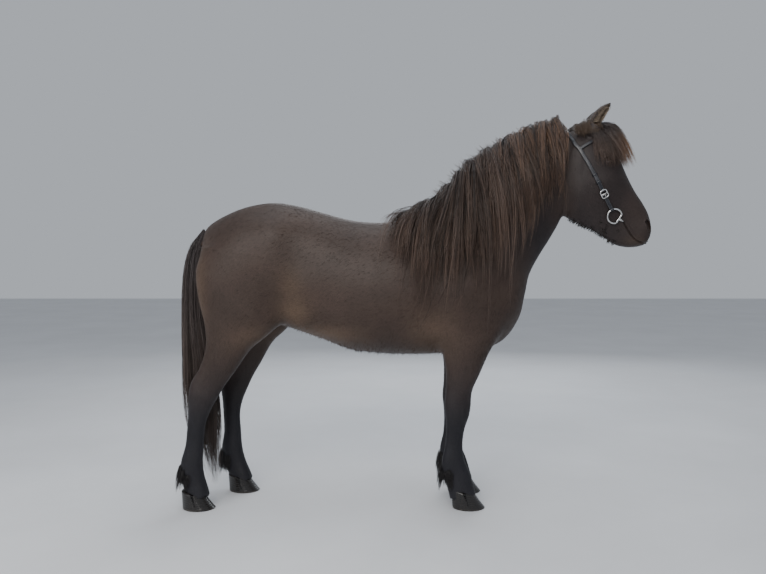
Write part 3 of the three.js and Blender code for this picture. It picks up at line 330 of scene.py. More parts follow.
FORMS = [
    Form(TRUNK, 0, 40),
    Form(HEAD, 0, 34),
    Form(FORE_LEG, RIGHT, 44),
    Form(FORE_LEG, LEFT, 44),
    Form(HIND_LEG, RIGHT, 56),
    Form(HIND_LEG, LEFT, 56, step=HIND_STEP),
]
FAR = 1.0  # distance that stands for anywhere away from the horse


def body_distance(p):
    """The plain field of the body at rows of points: forms and reliefs, without details."""
    x, y, z = p.T
    d = np.full(len(p), FAR)
    for form in FORMS:
        near = form.near(p)
        section = form.section(x[near], z[near])
        d[near] = smooth_union(d[near], form.distance(section, y[near]), form.blend)
    for place, size, rise in RELIEFS:
        d -= rise * MM * math.prod(bells((x, np.abs(y), z), place, size))
    return d


def side_point(x, z, side):
    """The point of the body's side at (x, z), and its outward normal."""
    inner, outer = 0.0, 0.4
    for _ in range(24):
        middle = (inner + outer) / 2
        outside = body_distance(np.array([[x, side * middle, z]]))[0] > 0
        inner, outer = (inner, middle) if outside else (middle, outer)
    p = np.array([[x, side * inner, z]])
    return p[0], gradient(body_distance, p)[0]


# The eye: a ball under two lids, on the left side; the right side mirrors it.
EYE_RADIUS = 19 * MM
EYE_STANDS_OUT = 9 * MM
EYE_PLACE = (0.893, 1.602)
LID = 3.2 * MM
LID_BLEND = 9 * MM
LID_EDGE = 2.4 * MM
UPPER_FOLDS = ((7, 2.4), (12, 1.5), (17, 1.1))  # height over the opening, depth
LOWER_FOLD = (6, 1.3)
FOLD_WIDTH = 1.7 * MM
FOLD_REACH = 14 * MM
EYE_HALF = (18 * MM, 11.5 * MM, 8.5 * MM)  # half length, then height above and below the fold line
eye_skin, eye_out = side_point(*EYE_PLACE, LEFT)
eye_centre = eye_skin + eye_out * (EYE_STANDS_OUT - EYE_RADIUS)
eye_fold = np.array([0.87, 0, -0.5])
eye_fold = unit(eye_fold - eye_out * (eye_fold @ eye_out))
eye_up = np.cross(eye_fold, eye_out)
if eye_up[2] < 0:
    eye_up = -eye_up

# The ear: a crescent swept from base to tip, on the left side.
EAR_BASE = np.array([828, 60, 1738]) * MM
EAR_TIP = np.array([908, 78, 1868]) * MM
EAR_WIDTHS = ([0, 0.25, 0.5, 0.75, 0.92, 1], [29, 36, 35, 25, 11, 2])
EAR_BOW = 9 * MM
EAR_WALL = 5 * MM
EAR_SKIN = 2.5 * MM
EAR_EDGE = 2.5 * MM
EAR_CUP_SHIFT = 0.3  # how far the cup's middle lies ahead, as a share of the radius
EAR_CUP_NARROWING = 1.22
EAR_BLEND = 16 * MM
EAR_CUP_FROM = 0.2  # share of the ear's height where its cup begins
ear_length = np.linalg.norm(EAR_TIP - EAR_BASE)
ear_axis = unit(EAR_TIP - EAR_BASE)
ear_opening = np.array([0.78, 0.62, 0])
ear_opening = unit(ear_opening - ear_axis * (ear_opening @ ear_axis))
ear_across = np.cross(ear_axis, ear_opening)

MOUTH = np.array([(974, 1316), (990, 1288), (1008, 1258), (1026, 1236), (1048, 1222), (1100, 1212)]) * MM
MOUTH_WIDTH = 2.6 * MM
MOUTH_DEPTH = 7 * MM
LIP_FULLNESS = 2.6 * MM
# The nostril: a slit with a comma's tail, as place, half size (mm) and lean of each part.
NOSTRIL_PITS = [((1097, 45, 1293), (8, 16, 24), -0.3), ((1088, 49, 1311), (5, 12, 8), -1.1)]
NOSTRIL_RIM = 2.6 * MM
NOSTRIL_DEPTH = 7 * MM
NOSTRIL_EDGE = 3 * MM
NOSTRIL_JOIN = 0.5  # how softly the two parts of the pit run together


def distance_to_run(x, z, run):
    """Distance in the XZ plane from points to a polyline."""
    best = np.full(np.broadcast(x, z).shape, FAR)
    for a, b in zip(run[:-1], run[1:]):
        ab = b - a
        t = np.clip(((x - a[0]) * ab[0] + (z - a[1]) * ab[1]) / (ab @ ab), 0, 1)
        best = np.minimum(best, np.hypot(x - a[0] - t * ab[0], z - a[1] - t * ab[1]))
    return best


def ear_place(x, side, z):
    """Share of the way up the ear, offset from its bowed middle line, and its radius there."""
    q = [x - EAR_BASE[0], side - EAR_BASE[1], z - EAR_BASE[2]]
    t = dot(q, ear_axis) / ear_length
    held = np.clip(t, 0, 1)
    bow = -EAR_BOW * np.sin(math.pi * held)
    off = [q[i] - ear_axis[i] * held * ear_length - ear_opening[i] * bow for i in range(3)]
    return t, off, np.interp(held, *EAR_WIDTHS) * MM


def ear_distance(x, side, z):
    t, off, radius = ear_place(x, side, z)
    shift = radius * EAR_CUP_SHIFT
    forward = dot(off, ear_opening) - shift
    across = dot(off, ear_across) * EAR_CUP_NARROWING
    cavity = np.sqrt(forward**2 + across**2) - (radius + shift - EAR_WALL)
    cavity = np.maximum(cavity, (EAR_CUP_FROM - t) * ear_length)
    return smooth_cut(length_of(off) - radius, cavity, EAR_EDGE)


def with_lids(d, x, side, z):
    """Two lids round an almond-shaped opening, with folds over and under it."""
    q = [x - eye_centre[0], side - eye_centre[1], z - eye_centre[2]]
    u, v, w = dot(q, eye_fold), dot(q, eye_up), dot(q, eye_out)
    r = length_of(q)
    d = smooth_union(d, r - (EYE_RADIUS + LID), LID_BLEND)
    long, above, below = EYE_HALF
    curve = np.clip(1 - (u / long) ** 2, 0, 1)
    top, bottom = above * curve**0.8, below * curve**0.7
    opening = np.maximum(np.maximum(v - top, -v - bottom), np.abs(u) - long)
    d = smooth_cut(d, np.maximum(opening, -w), LID_EDGE)
    folds = [(v - top - lift * MM * (0.4 + 0.6 * curve), depth) for lift, depth in UPPER_FOLDS]
    folds.append((v + bottom + LOWER_FOLD[0] * MM, LOWER_FOLD[1]))
    near = bell(r, EYE_RADIUS, FOLD_REACH) * (w > 0) * smoothstep(0, 0.35, curve)
    for off, depth in folds:
        d = d + depth * MM * near * bell(off, 0, FOLD_WIDTH)
    return d


def with_nostrils(d, x, side, z):
    """A comma-shaped pit on each side, inside a raised rim."""
    pits = []
    for place, size, lean in NOSTRIL_PITS:
        a, b, c = (v - at * MM for v, at in zip((x, side, z), place))
        cos, sin = math.cos(lean), math.sin(lean)
        turned = (cos * a - sin * c, b, sin * a + cos * c)
        pits.append(length_of([t / (half * MM) for t, half in zip(turned, size)]))
    pit = smooth_union(*pits, NOSTRIL_JOIN)
    d = d - NOSTRIL_RIM * bell(pit, 1.5, 0.4)
    return smooth_cut(d, (pit - 1) * NOSTRIL_DEPTH, NOSTRIL_EDGE)


def with_mouth(d, x, z):
    """The line of the mouth, shallower in front, between full lips."""
    to_mouth = distance_to_run(x, z, MOUTH)
    d = d - LIP_FULLNESS * bell(to_mouth, 9 * MM, 6 * MM)
    depth = MOUTH_DEPTH * (1 - 0.75 * smoothstep(1.05, 1.085, x))
    return d + depth * bell(to_mouth, 0, MOUTH_WIDTH)


def add_details(d, x, y, z):
    """The head's ears, lids, nostrils and mouth, on a field given with arrays that broadcast to it."""
    side = np.abs(y)
    d = smooth_union(d, ear_distance(x, side, z) - EAR_SKIN, EAR_BLEND)
    return with_mouth(with_nostrils(with_lids(d, x, side, z), x, side, z), x, z)


# The box round the head where the details lie.
DETAIL_LOW = np.array([0.68, -0.16, 1.16])
DETAIL_HIGH = np.array([1.16, 0.16, 1.92])


def skin_distance(p):
    """The whole skin's field at rows of points."""
    d = body_distance(p)
    near = between(p, DETAIL_LOW, DETAIL_HIGH)
    d[near] = add_details(d[near], *p[near].T)
    return d + COAT_DEPTH


# The skin's grid: its steps round the head and elsewhere, its ends, and where the steps change.
FULL_STEPS = (2.9 * MM, 9.5 * MM)
GRID_X = (-1.16, 0.69, 1.16)
GRID_Y = (-0.36, -0.13, 0.13, 0.36)
GRID_Z = (0.02, 1.17, 1.90)
SIDE_STEP = 1.15  # the finer steps are this much wider across the head
LEAST_RELIEF = 0.003  # share of a relief's height below which it isn't felt


def axis_lines(ends, *steps):
    """Grid lines along one axis, with their step from each end to the next."""
    runs = [np.arange(a, b, step) for a, b, step in zip(ends[:-1], ends[1:], steps)]
    return np.concatenate([*runs, ends[-1:]])


def grid_box(grids, low, high):
    """The part of the grid between two corners, as slices."""
    return tuple(slice(*np.searchsorted(g, ends)) for g, ends in zip(grids, zip(low, high)))


def skin_grid():
    """The field on a grid that is fine round the head and coarser elsewhere."""
    fine, rough = FULL_STEPS
    across = axis_lines(GRID_Y, rough, fine * SIDE_STEP, rough)
    grids = (axis_lines(GRID_X, rough, fine), across, axis_lines(GRID_Z, rough, fine))
    d = np.full([len(g) for g in grids], FAR, np.float32)
    for form in FORMS:
        box = grid_box(grids, form.low, form.high)
        x, y, z = (g[s] for g, s in zip(grids, box))
        flat_x, flat_z = (g.ravel() for g in np.meshgrid(x, z, indexing="ij"))
        section = form.section(flat_x, flat_z)
        section = {k: v.reshape(len(x), 1, len(z)).astype(np.float32) for k, v in section.items()}
        own = form.distance(section, y.astype(np.float32)[None, :, None])
        d[box] = smooth_union(d[box], own, form.blend)
    for place, size, rise in RELIEFS:
        rows = bells((grids[0], np.abs(across), grids[2]), place, size)
        keep = [np.nonzero(r > LEAST_RELIEF)[0] for r in rows]
        felt = math.prod(np.ix_(*(r[k] for r, k in zip(rows, keep))))
        d[np.ix_(*keep)] -= rise * MM * felt
    box = grid_box(grids, DETAIL_LOW, DETAIL_HIGH)
    x, y, z = (g[s].astype(np.float32) for g, s in zip(grids, box))
    d[box] = add_details(d[box], x[:, None, None], y[None, :, None], z[None, None, :])
    return d + np.float32(COAT_DEPTH), grids


CORNERS = [(a, b, c) for a in (0, 1) for b in (0, 1) for c in (0, 1)]  # of a cell or a box


def surface_net(f, grids):
    """Vertices and quads of the surface where the field f changes sign."""
    inside = f < 0
    n = np.array(f.shape) - 1
    filled = np.zeros(n, np.int8)
    for corner in CORNERS:
        filled += inside[tuple(slice(k, k + size) for k, size in zip(corner, n))]
    cells = np.argwhere((filled > 0) & (filled < 8))
    index = np.full(n, -1, np.int32)
    index[tuple(cells.T)] = np.arange(len(cells))
    total = np.zeros((len(cells), 3))
    hits = np.zeros(len(cells))
    edges = [(axis, corner) for axis in range(3) for corner in CORNERS if corner[axis] == 0]
    for axis, corner in edges:
        start = cells + corner
        stop = start + np.eye(3, dtype=int)[axis]
        fa, fb = f[tuple(start.T)], f[tuple(stop.T)]
        cross = (fa < 0) != (fb < 0)
        share = fa[cross] / (fa[cross] - fb[cross])
        place = np.stack([grids[a][start[cross, a]] for a in range(3)], 1)
        gap = grids[axis][stop[cross, axis]] - grids[axis][start[cross, axis]]
        place[:, axis] += share * gap
        total[cross] += place
        hits[cross] += 1
    quads = []
    for axis in range(3):
        a, b = (axis + 1) % 3, (axis + 2) % 3
        near = [slice(1, -1)] * 3
        far = [slice(1, -1)] * 3
        near[axis], far[axis] = slice(0, -1), slice(1, None)
        change = np.argwhere(inside[tuple(near)] != inside[tuple(far)])
        change[:, a] += 1
        change[:, b] += 1
        ring = []
        for s, t in ((-1, -1), (0, -1), (0, 0), (-1, 0)):
            cell = change.copy()
            cell[:, a] += s
            cell[:, b] += t
            ring.append(index[tuple(cell.T)])
        quad = np.stack(ring, 1)
        flip = ~inside[tuple(change.T)]
        quad[flip] = quad[flip][:, ::-1]
        quads.append(quad)
    return total / hits[:, None], np.concatenate(quads)


def in_scene(name, data):
    obj = bpy.data.objects.new(name, data)
    bpy.context.scene.collection.objects.link(obj)
    return obj


def mesh_object(name, vertices, faces, smooth=True):
    """An object from vertex and face arrays; all faces have the same number of corners."""
    mesh = bpy.data.meshes.new(name)
    mesh.vertices.add(len(vertices))
    mesh.vertices.foreach_set("co", np.asarray(vertices, np.float32).ravel())
    corners = faces.shape[1]
    mesh.loops.add(faces.size)
    mesh.loops.foreach_set("vertex_index", faces.astype(np.int32).ravel())
    mesh.polygons.add(len(faces))
    mesh.polygons.foreach_set("loop_start", np.arange(0, faces.size, corners, dtype=np.int32))
    mesh.polygons.foreach_set("use_smooth", np.full(len(faces), smooth))
    mesh.update(calc_edges=True)
    return in_scene(name, mesh)


def point_attribute(obj, name, values):
    layer = obj.data.attributes.new(name, "FLOAT", "POINT")
    layer.data.foreach_set("value", np.asarray(values, np.float32))


class SkinField:
    """The skin's field on a grid, read between its lines."""

    def __init__(self, values, grids):
        self.values = values
        self.grids = grids

    def distance(self, p):
        flat = p.reshape(-1, 3)
        cell, share = [], []
        for axis, g in enumerate(self.grids):
            i = np.clip(np.searchsorted(g, flat[:, axis]) - 1, 0, len(g) - 2)
            cell.append(i)
            share.append(np.clip((flat[:, axis] - g[i]) / (g[i + 1] - g[i]), 0, 1))
        total = np.zeros(len(flat))
        for corner in CORNERS:
            weight = math.prod(s if ahead else 1 - s for s, ahead in zip(share, corner))
            total += weight * self.values[tuple(i + ahead for i, ahead in zip(cell, corner))]
        return total.reshape(p.shape[:-1])

    def normal(self, p):
        return gradient(self.distance, p, 5 * MM)

    def to_height(self, p, height, rounds=4):
        """The points moved until they are at a height over the skin."""
        for _ in range(rounds):
            p = p + self.normal(p) * (height - self.distance(p))[..., None]
        return p


class BodyField(SkinField):
    """The skin's field without ears, lids and lips: hair lies over these and not round them."""

    def distance(self, p):
        return (body_distance(p.reshape(-1, 3)) + COAT_DEPTH).reshape(p.shape[:-1])


WARM_SPOTS = [
    # place [x, z], reach, strength
    ((-548, 895), (78, 100), 0.4),
    ((-560, 1000), (60, 110), 0.25),
    ((-430, 800), (190, 46), 0.35),
    ((-985, 960), (50, 210), 0.3),
    ((70, 790), (110, 120), 0.24),
    ((-720, 790), (120, 60), 0.2),
    ((1020, 1228), (46, 24), 0.15),
]


def warm_share(p):
    """Where the coat is browner: flank, belly edge, back of the thigh, elbow and lip."""
    out = np.zeros(len(p))
    for place, reach, strength in WARM_SPOTS:
        out = np.maximum(out, strength * math.prod(bells((p[:, 0], p[:, 2]), place, reach)))
    return out


def black_and_shade_share(p):
    """Where the coat is nearly black: the lower legs and much of the face, paler towards the nose as a
    painted sheen; at the front of the neck the darkening is painted shade.
    """
    legs = 1 - smoothstep(0.34, 0.78, p[:, 2])
    # the face is black, made lighter towards the nose as a painted sheen
    face = 0.55 * smoothstep(0.66, 0.78, p[:, 0]) * (1 - 0.35 * smoothstep(0.92, 1.04, p[:, 0]))
    # painted shade: the front of the neck darkened as if it lay in shadow
    throat = 0.75 * bell(p[:, 0], 0.6, 0.1) * bell(p[:, 2], 1.2, 0.22)
    return np.maximum(np.maximum(legs, face), throat)


def pale_share(p):
    """Where the short hair is pale: inside the cup of each ear."""
    t, off, radius = ear_place(p[:, 0], np.abs(p[:, 1]), p[:, 2])
    inside = smoothstep(0.97, 0.86, length_of(off) / radius) * (t > 0.1) * (t < 0.97)
    return inside * (1 - 0.8 * smoothstep(0.75, 0.97, t))


def skin_marks(obj, p):
    # the "black" mark holds the black legs and face, and painted shade at the front of the neck
    for name, share in (("warm", warm_share), ("black", black_and_shade_share), ("pale", pale_share)):
        point_attribute(obj, name, share(p))


# The unwrap that OFBake lies on: one rectangle (u, v to u, v) for each form, round it and along it.
TRUNK_STRIP = 0.62
LEG_STRIP = 0.095
STRIP_GAP = 0.01
ATLAS = [(0.0, 0.0, TRUNK_STRIP - STRIP_GAP, 1.0), (TRUNK_STRIP, 0.5, 1.0, 1.0)]
for leg in range(4):
    leg_start = TRUNK_STRIP + LEG_STRIP * leg
    ATLAS.append((leg_start, 0.0, leg_start + LEG_STRIP - STRIP_GAP, 0.5 - STRIP_GAP))


def unwrapped(form, p):
    """Share of the way round and along one form, and the distance to it."""
    section = form.section(p[:, 0], p[:, 2])
    along = (section["up"] - section["mid"]) * section["depth"]
    turn = np.arctan2(p[:, 1] - section["side"], along) / (2 * math.pi) + 0.5
    return turn, section["t"] / (form.count - 1), form.distance(section, p[:, 1])


def in_atlas(k, turn, along):
    u0, v0, u1, v1 = ATLAS[k]
    return np.stack([u0 + (0.03 + 0.94 * turn) * (u1 - u0), v0 + (0.02 + 0.96 * along) * (v1 - v0)], -1)


def nearest_form(p):
    """For each point the nearest form, with the point's place in the atlas."""
    best = np.full(len(p), FAR)
    which = np.zeros(len(p), int)
    place = np.zeros((len(p), 2))
    for k, form in enumerate(FORMS):
        near = np.nonzero(form.near(p))[0]
        turn, along, d = unwrapped(form, p[near])
        closer = d < best[near]
        chosen = near[closer]
        best[chosen] = d[closer]
        which[chosen] = k
        place[chosen] = in_atlas(k, turn[closer], along[closer])
    return which, place


def set_bake_map(obj, loop_places):
    layer = obj.data.uv_layers.new(name="OFBake")
    layer.data.foreach_set("uv", np.asarray(loop_places, np.float32).ravel())


def unwrap_skin(obj, vertices, quads):
    """The skin's own unwrap: each face lies whole in the rectangle of the form nearest to its middle."""
    middles = vertices[quads].mean(axis=1)
    which, _ = nearest_form(middles)
    places = np.zeros((len(quads), 4, 2))
    for k, form in enumerate(FORMS):
        mine = np.nonzero(which == k)[0]
        used, back = np.unique(quads[mine], return_inverse=True)
        turn, along, _ = unwrapped(form, vertices[used])
        turn, along = (v[back].reshape(-1, 4) for v in (turn, along))
        turn = turn - np.round(turn - turn[:, :1])
        places[mine] = in_atlas(k, turn, along)
    set_bake_map(obj, places)


def build_skin():
    values, grids = skin_grid()
    vertices, quads = surface_net(values, grids)
    off = skin_distance(vertices)[:, None]
    vertices = vertices - gradient(skin_distance, vertices) * off
    obj = mesh_object("skin", vertices, quads)
    skin_marks(obj, vertices)
    unwrap_skin(obj, vertices, quads)
    return obj, vertices, quads, SkinField(values, grids)


# Hair: strands follow guides, and each strand is a closed three-sided tube that tapers to its tip.
HAIR_REACH = 0.286  # from the middle plane, just over the widest of the barrel
HAIR_RING = np.array([(0.5, 0), (0, 0.55), (-0.5, 0)])
HAIR_TAPER = ([0, 0.12, 0.4, 0.75, 1], [0.55, 0.9, 1, 0.72, 0.06])
ROOT_SUNK = 6 * MM
BAKE_PATCH = 0.003  # size of a strand or a tuft in the unwrap
PIECE_TRIANGLES = 190000  # most triangles in one piece of hair or coat


def columns(*parts):
    """Rows from their columns, any of which may be a single number."""
    return np.stack(np.broadcast_arrays(*parts), -1)


def scattered(count):
    """Shares from 0 to 1, one drawn from each of count equal steps."""
    return (np.arange(count) + rng.random(count)) / count


def shares_along(runs, which, shares):
    """Points of runs (G, K, 3) at shares (N, R) of their lengths, run by run."""
    knots = runs.shape[1] - 1
    place = np.clip(shares, 0, 1) * knots
    i = np.minimum(place.astype(int), knots - 1)
    f = (place - i)[..., None]
    rows = which[:, None]
    return runs[rows, i] * (1 - f) + runs[rows, i + 1] * f


def along_axis(paths):
    return unit_rows(np.gradient(paths, axis=-2))


def side_faces(n, m, closed=False):
    """Triangles between n rings of m corners each, with the last ring joined to the first if closed."""
    i = np.arange(n if closed else n - 1)[:, None]
    j = np.arange(m)
    a, b = i * m + j, i * m + (j + 1) % m
    c, d = (i + 1) % n * m + (j + 1) % m, (i + 1) % n * m + j
    return np.concatenate([columns(*corners).reshape(-1, 3) for corners in ((a, b, c), (a, c, d))])


def copied_faces(shape, corners, count):
    """Faces of count copies of a small solid that has that many corners."""
    return ((np.arange(count) * corners)[:, None, None] + shape).reshape(-1, 3)


def finish_piece(obj, material, slot, *replaced):
    obj.data.materials.append(material)
    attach(obj, "root")
    if replaced:
        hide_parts(*replaced)


def small_solids(name, material, slot, corners, shape, roots, offsets, marks, numbered=False):
    """Copies of a small solid, in objects small enough for the export.

    Corners and roots are given for each copy, marks for each copy or for each of its corners.
    """
    count, each = corners.shape[:2]
    pieces = math.ceil(count / (PIECE_TRIANGLES // len(shape)))
    _, places = nearest_form(roots)
    for k in range(pieces):
        part = slice(k * count // pieces, (k + 1) * count // pieces)
        faces = copied_faces(shape, each, part.stop - part.start)
        label = f"{name}_{k + 1}" if numbered or pieces > 1 else name
        obj = mesh_object(label, corners[part].reshape(-1, 3), faces, smooth=not numbered)
        skin_marks(obj, np.repeat(roots[part], each, axis=0))
        for mark, values in marks.items():
            point_attribute(obj, mark, np.broadcast_to(values, (count, each))[part].ravel())
        place = places[part][:, None] + offsets * BAKE_PATCH
        set_bake_map(obj, place.reshape(-1, 2)[faces.ravel()])
        finish_piece(obj, material, slot)


def hair_pieces(name, material, paths, outs, widths, tones, slot="long_hair", tip_warm=None):
    """Strands as tubes along their paths."""
    rings = paths.shape[1]
    forward = along_axis(paths)
    across = unit_rows(np.cross(forward, outs))
    up = np.cross(across, forward)
    shares = np.linspace(0, 1, rings)
    width = widths[:, None, None] * np.interp(shares, *HAIR_TAPER)[:, None]
    corners = np.stack([paths + across * width * a + up * width * b for a, b in HAIR_RING], 2)
    last = (rings - 1) * 3
    shape = np.concatenate([side_faces(rings, 3), [(0, 2, 1), (last, last + 1, last + 2)]])
    offsets = columns(np.tile(HAIR_RING[:, 0], rings), np.repeat(shares - 0.5, 3))
    marks = {"tone": tones[:, None], "along": np.repeat(shares, 3)}
    if tip_warm is not None:
        marks["tip_warm"] = tip_warm[:, None]
    corners = corners.reshape(len(paths), -1, 3)
    small_solids(name, material, slot, corners, shape, paths[:, 0], offsets, marks)


def bent_runs(roots, headings, lengths, droop):
    """Short runs that leave along their headings and bend towards droop."""
    shares = np.linspace(0, 1, 8)[:, None]
    lengths = lengths[:, None, None]
    return roots[:, None] + unit_rows(headings)[:, None] * shares * lengths + droop * shares**2 * lengths


RISE_AT, RISE_REACH = 60 * MM, 50 * MM  # where along a run its rise over the lift is felt


def hanging_runs(
    field, roots, headings, lengths, lifts, rises, drifts,
    turn=0.16, cling=0.5, knots=26, settle=0, rest=60 * MM,
):
    """Runs that leave the skin, turn under their own weight and hang over the body at their lift.

    They reach their lift after the length rest, and lose the share settle of it further down.
    """
    step = (lengths / (knots - 1))[:, None]
    p = roots.copy()
    heading = unit_rows(headings)
    runs = [p.copy()]
    for i in range(1, knots):
        normal = field.normal(p)
        fall = columns(drifts, 0, -1)
        fall = fall - normal * row_dot(fall, normal)
        heading = unit_rows(heading * (1 - turn) + fall * turn)
        p = p + heading * step
        run = step[:, 0] * i
        height = lifts * smoothstep(0, rest, run) * (1 - settle * smoothstep(0.2, 0.5, run))
        height = height + rises * bell(run, RISE_AT, RISE_REACH)
        off = height - field.distance(p)
        push = np.where(off > 0, off, np.maximum(off, -step[:, 0]) * cling)
        p = p + field.normal(p) * push[:, None]
        runs.append(p.copy())
    return np.stack(runs, 1)


def strands_from(
    field, guides, per_guide, rings, spread, clump, wave, shortest=0.72, clear=2 * MM, trim=False
):
    """Strands round each guide: spread apart at the root, gathered towards the tip, slightly waved."""
    which = np.repeat(np.arange(len(guides)), per_guide)
    count = len(which)
    reach = 1 - (1 - shortest) * rng.random(count) ** 1.5
    shares = np.linspace(0, 1, rings)[None] * reach[:, None]
    middle = shares_along(guides, which, shares)
    outs = unit_rows(field.normal(middle) + np.array([0, 0, 0.001]))
    across = unit_rows(np.cross(along_axis(middle), outs))
    angle, radius = rng.random(count) * 2 * math.pi, np.sqrt(rng.random(count))
    side, out = np.cos(angle) * radius * spread[0], np.sin(angle) * radius * spread[1]
    gather = 1 - (1 - clump) * shares**1.3
    phase, turns = rng.random(count) * 2 * math.pi, 1.2 + 1.6 * rng.random(count)
    swing = np.sin(2 * math.pi * turns[:, None] * shares + phase[:, None])
    sway = wave * rng.normal(size=count)[:, None] * swing * smoothstep(0, 0.25, shares)
    paths = middle + across * (side[:, None] * gather + sway)[..., None]
    paths = paths + outs * (out[:, None] * gather + 0.5 * sway)[..., None]
    below = clear - field.distance(paths)
    below[:, 0] = 0
    paths = paths + outs * np.maximum(below, 0)[..., None]
    paths[:, 0] -= outs[:, 0] * ROOT_SUNK
    paths[..., 1] = np.clip(paths[..., 1], -HAIR_REACH, HAIR_REACH)
    if trim:
        keep = off_the_straps(paths)
        return paths[keep], outs[keep], which[keep]
    return paths, outs, which


def random_tones(which, lock_share, strand_share):
    locks = rng.normal(size=which.max() + 1)
    return np.clip(0.5 + lock_share * locks[which] + strand_share * rng.normal(size=len(which)), 0, 1)


def off_the_straps(paths):
    """Which strands keep clear of the bridle's headpiece, so that none lies across it."""
    run = smooth_run(over_top([*CROWN_RUN, *CHEEK_RUN]), 60)
    keep = np.ones(len(paths), bool)
    near = np.nonzero(np.any(paths[..., 0] > run[:, 0].min() - 20 * MM, axis=1))[0]
    gap = np.linalg.norm(paths[near][:, :, None] - run, axis=-1).min(axis=(1, 2))
    keep[near] = gap > STRAP_WIDTH * 0.8
    return keep


def grow(name, material, strands, width, tone, slot="long_hair", warm=None, fade=1):
    """Pieces of hair from strands: width is the least and the spread in mm, tone by lock and by strand."""
    paths, outs, which = strands
    widths = (width[0] + width[1] * rng.random(len(paths))) * MM
    tones = random_tones(which, *tone) * fade
    hair_pieces(name, material, paths, outs, widths, tones, slot, warm)


def crest_line(x):
    line = FORMS[0].lines
    return np.interp(x, line["ux"], line["uz"])


MANE_RUN = (-24, 706)  # where its roots start, and over what length
MANE_FALL = [(-60, -20, 60, 150, 270, 400, 555, 640, 700), (110, 380, 600, 780, 900, 830, 700, 520, 410)]
MANE_SHORTEST = 60 * MM
MANE_LAYERS = [
    # guides, root across, lift, rise, share of the length, strands of a guide
    (96, -12, 5, 14, 0.98, 14),
    (96, -5, 13, 24, 1.0, 14),
    (96, 3, 21, 34, 0.94, 14),
    (80, 9, 28, 42, 0.82, 14),
    (60, -2, 9, 12, 1.6, 5),
]


def build_mane(field, material):
    """Layers of long hair that rise from the crest and fall over the right side of the neck."""
    guides, per_guide = [], []
    for count, across, lift, rise, share, strands in MANE_LAYERS:
        per_guide += [strands] * count
        x = (MANE_RUN[0] + MANE_RUN[1] * scattered(count)) * MM
        roots = field.to_height(columns(x, across * MM, crest_line(x)), 0)
        heading = columns(rng.normal(0.02, 0.14, count), -0.75, rng.normal(0.9, 0.12, count))
        fall = np.interp(x / MM, *MANE_FALL) * MM
        share = 1 + (share - 1) * (1 - smoothstep(0.3, 0.45, x)) if share > 1 else share
        lengths = (fall * share + 30 * MM) * (1 - 0.38 * rng.random(count) ** 1.3)
        lengths = np.maximum(lengths, MANE_SHORTEST)
        near_end = smoothstep(-40 * MM, 240 * MM, x)
        drift = -0.06 + 0.2 * smoothstep(0, 0.3, x) - 0.16 * smoothstep(0.45, 0.66, x)
        drift += (0.03 + 0.04 * near_end) * rng.normal(size=count)
        lifts = lift * MM * (0.35 + 0.65 * near_end) * (1 + 0.2 * rng.random(count))
        rises = rise * MM * (0.15 + 0.85 * near_end**2) * (1 + 0.2 * rng.random(count))
        guides.append(hanging_runs(field, roots, heading, lengths, lifts, rises, drift, settle=0.6))
    spread = (17 * MM, 7 * MM)
    guides = np.concatenate(guides)
    paths, outs, which = strands_from(field, guides, per_guide, 10, spread, 0.5, 2.6 * MM, trim=True)
    tones = random_tones(which, 0.24, 0.15)
    widths = (1.3 + 0.9 * rng.random(len(paths))) * MM
    warm = rng.random(len(paths)) ** 2.5 * (0.3 + 0.7 * smoothstep(0.38, 0.56, paths[:, 0, 0]))
    hair_pieces("mane", material, paths, outs, widths, tones, tip_warm=warm)


CREST_TUFTS = 380
CREST_RUN = (-10, 690)
CREST_HEIGHT = 94 * MM


def build_crest_tufts(field, material):
    """Short dark hair that stands along the top of the neck between the roots of the mane."""
    count = CREST_TUFTS
    x = (CREST_RUN[0] + CREST_RUN[1] * scattered(count)) * MM
    roots = field.to_height(columns(x, rng.normal(2, 7, count) * MM, crest_line(x)), 0)
    size = (0.3 + 0.7 * smoothstep(0, 0.2, x)) * (0.7 + 0.5 * rng.random(count))
    size *= 1 - 0.35 * smoothstep(0.6, 0.68, x)
    lean = columns(rng.normal(-0.6, 0.25, count), rng.normal(-0.15, 0.3, count), 1)
    droop = columns(-0.15, np.sign(lean[:, 1]) * 0.3, -0.18)[:, None]
    guides = bent_runs(roots, lean, CREST_HEIGHT * size, droop)
    strands = strands_from(field, guides, 7, 6, (8 * MM, 6 * MM), 0.3, 1.2 * MM, 0.5)
    grow("crest_hair", material, strands, (1.2, 0.8), (0.12, 0.12))


FORELOCK_FAN = math.radians(105)  # how far round to each side it falls
FORELOCK_ROOT = (52 * MM, 1.765)  # half width and height of its roots
FORELOCK_LAYERS = [
    # guides, root x, lift and length ahead, lift and length at the sides
    (46, 876, (14, 250), (12, 285)),
    (46, 864, (34, 285), (16, 290)),
    (46, 848, (54, 310), (21, 285)),
    (44, 832, (72, 325), (26, 280)),
]


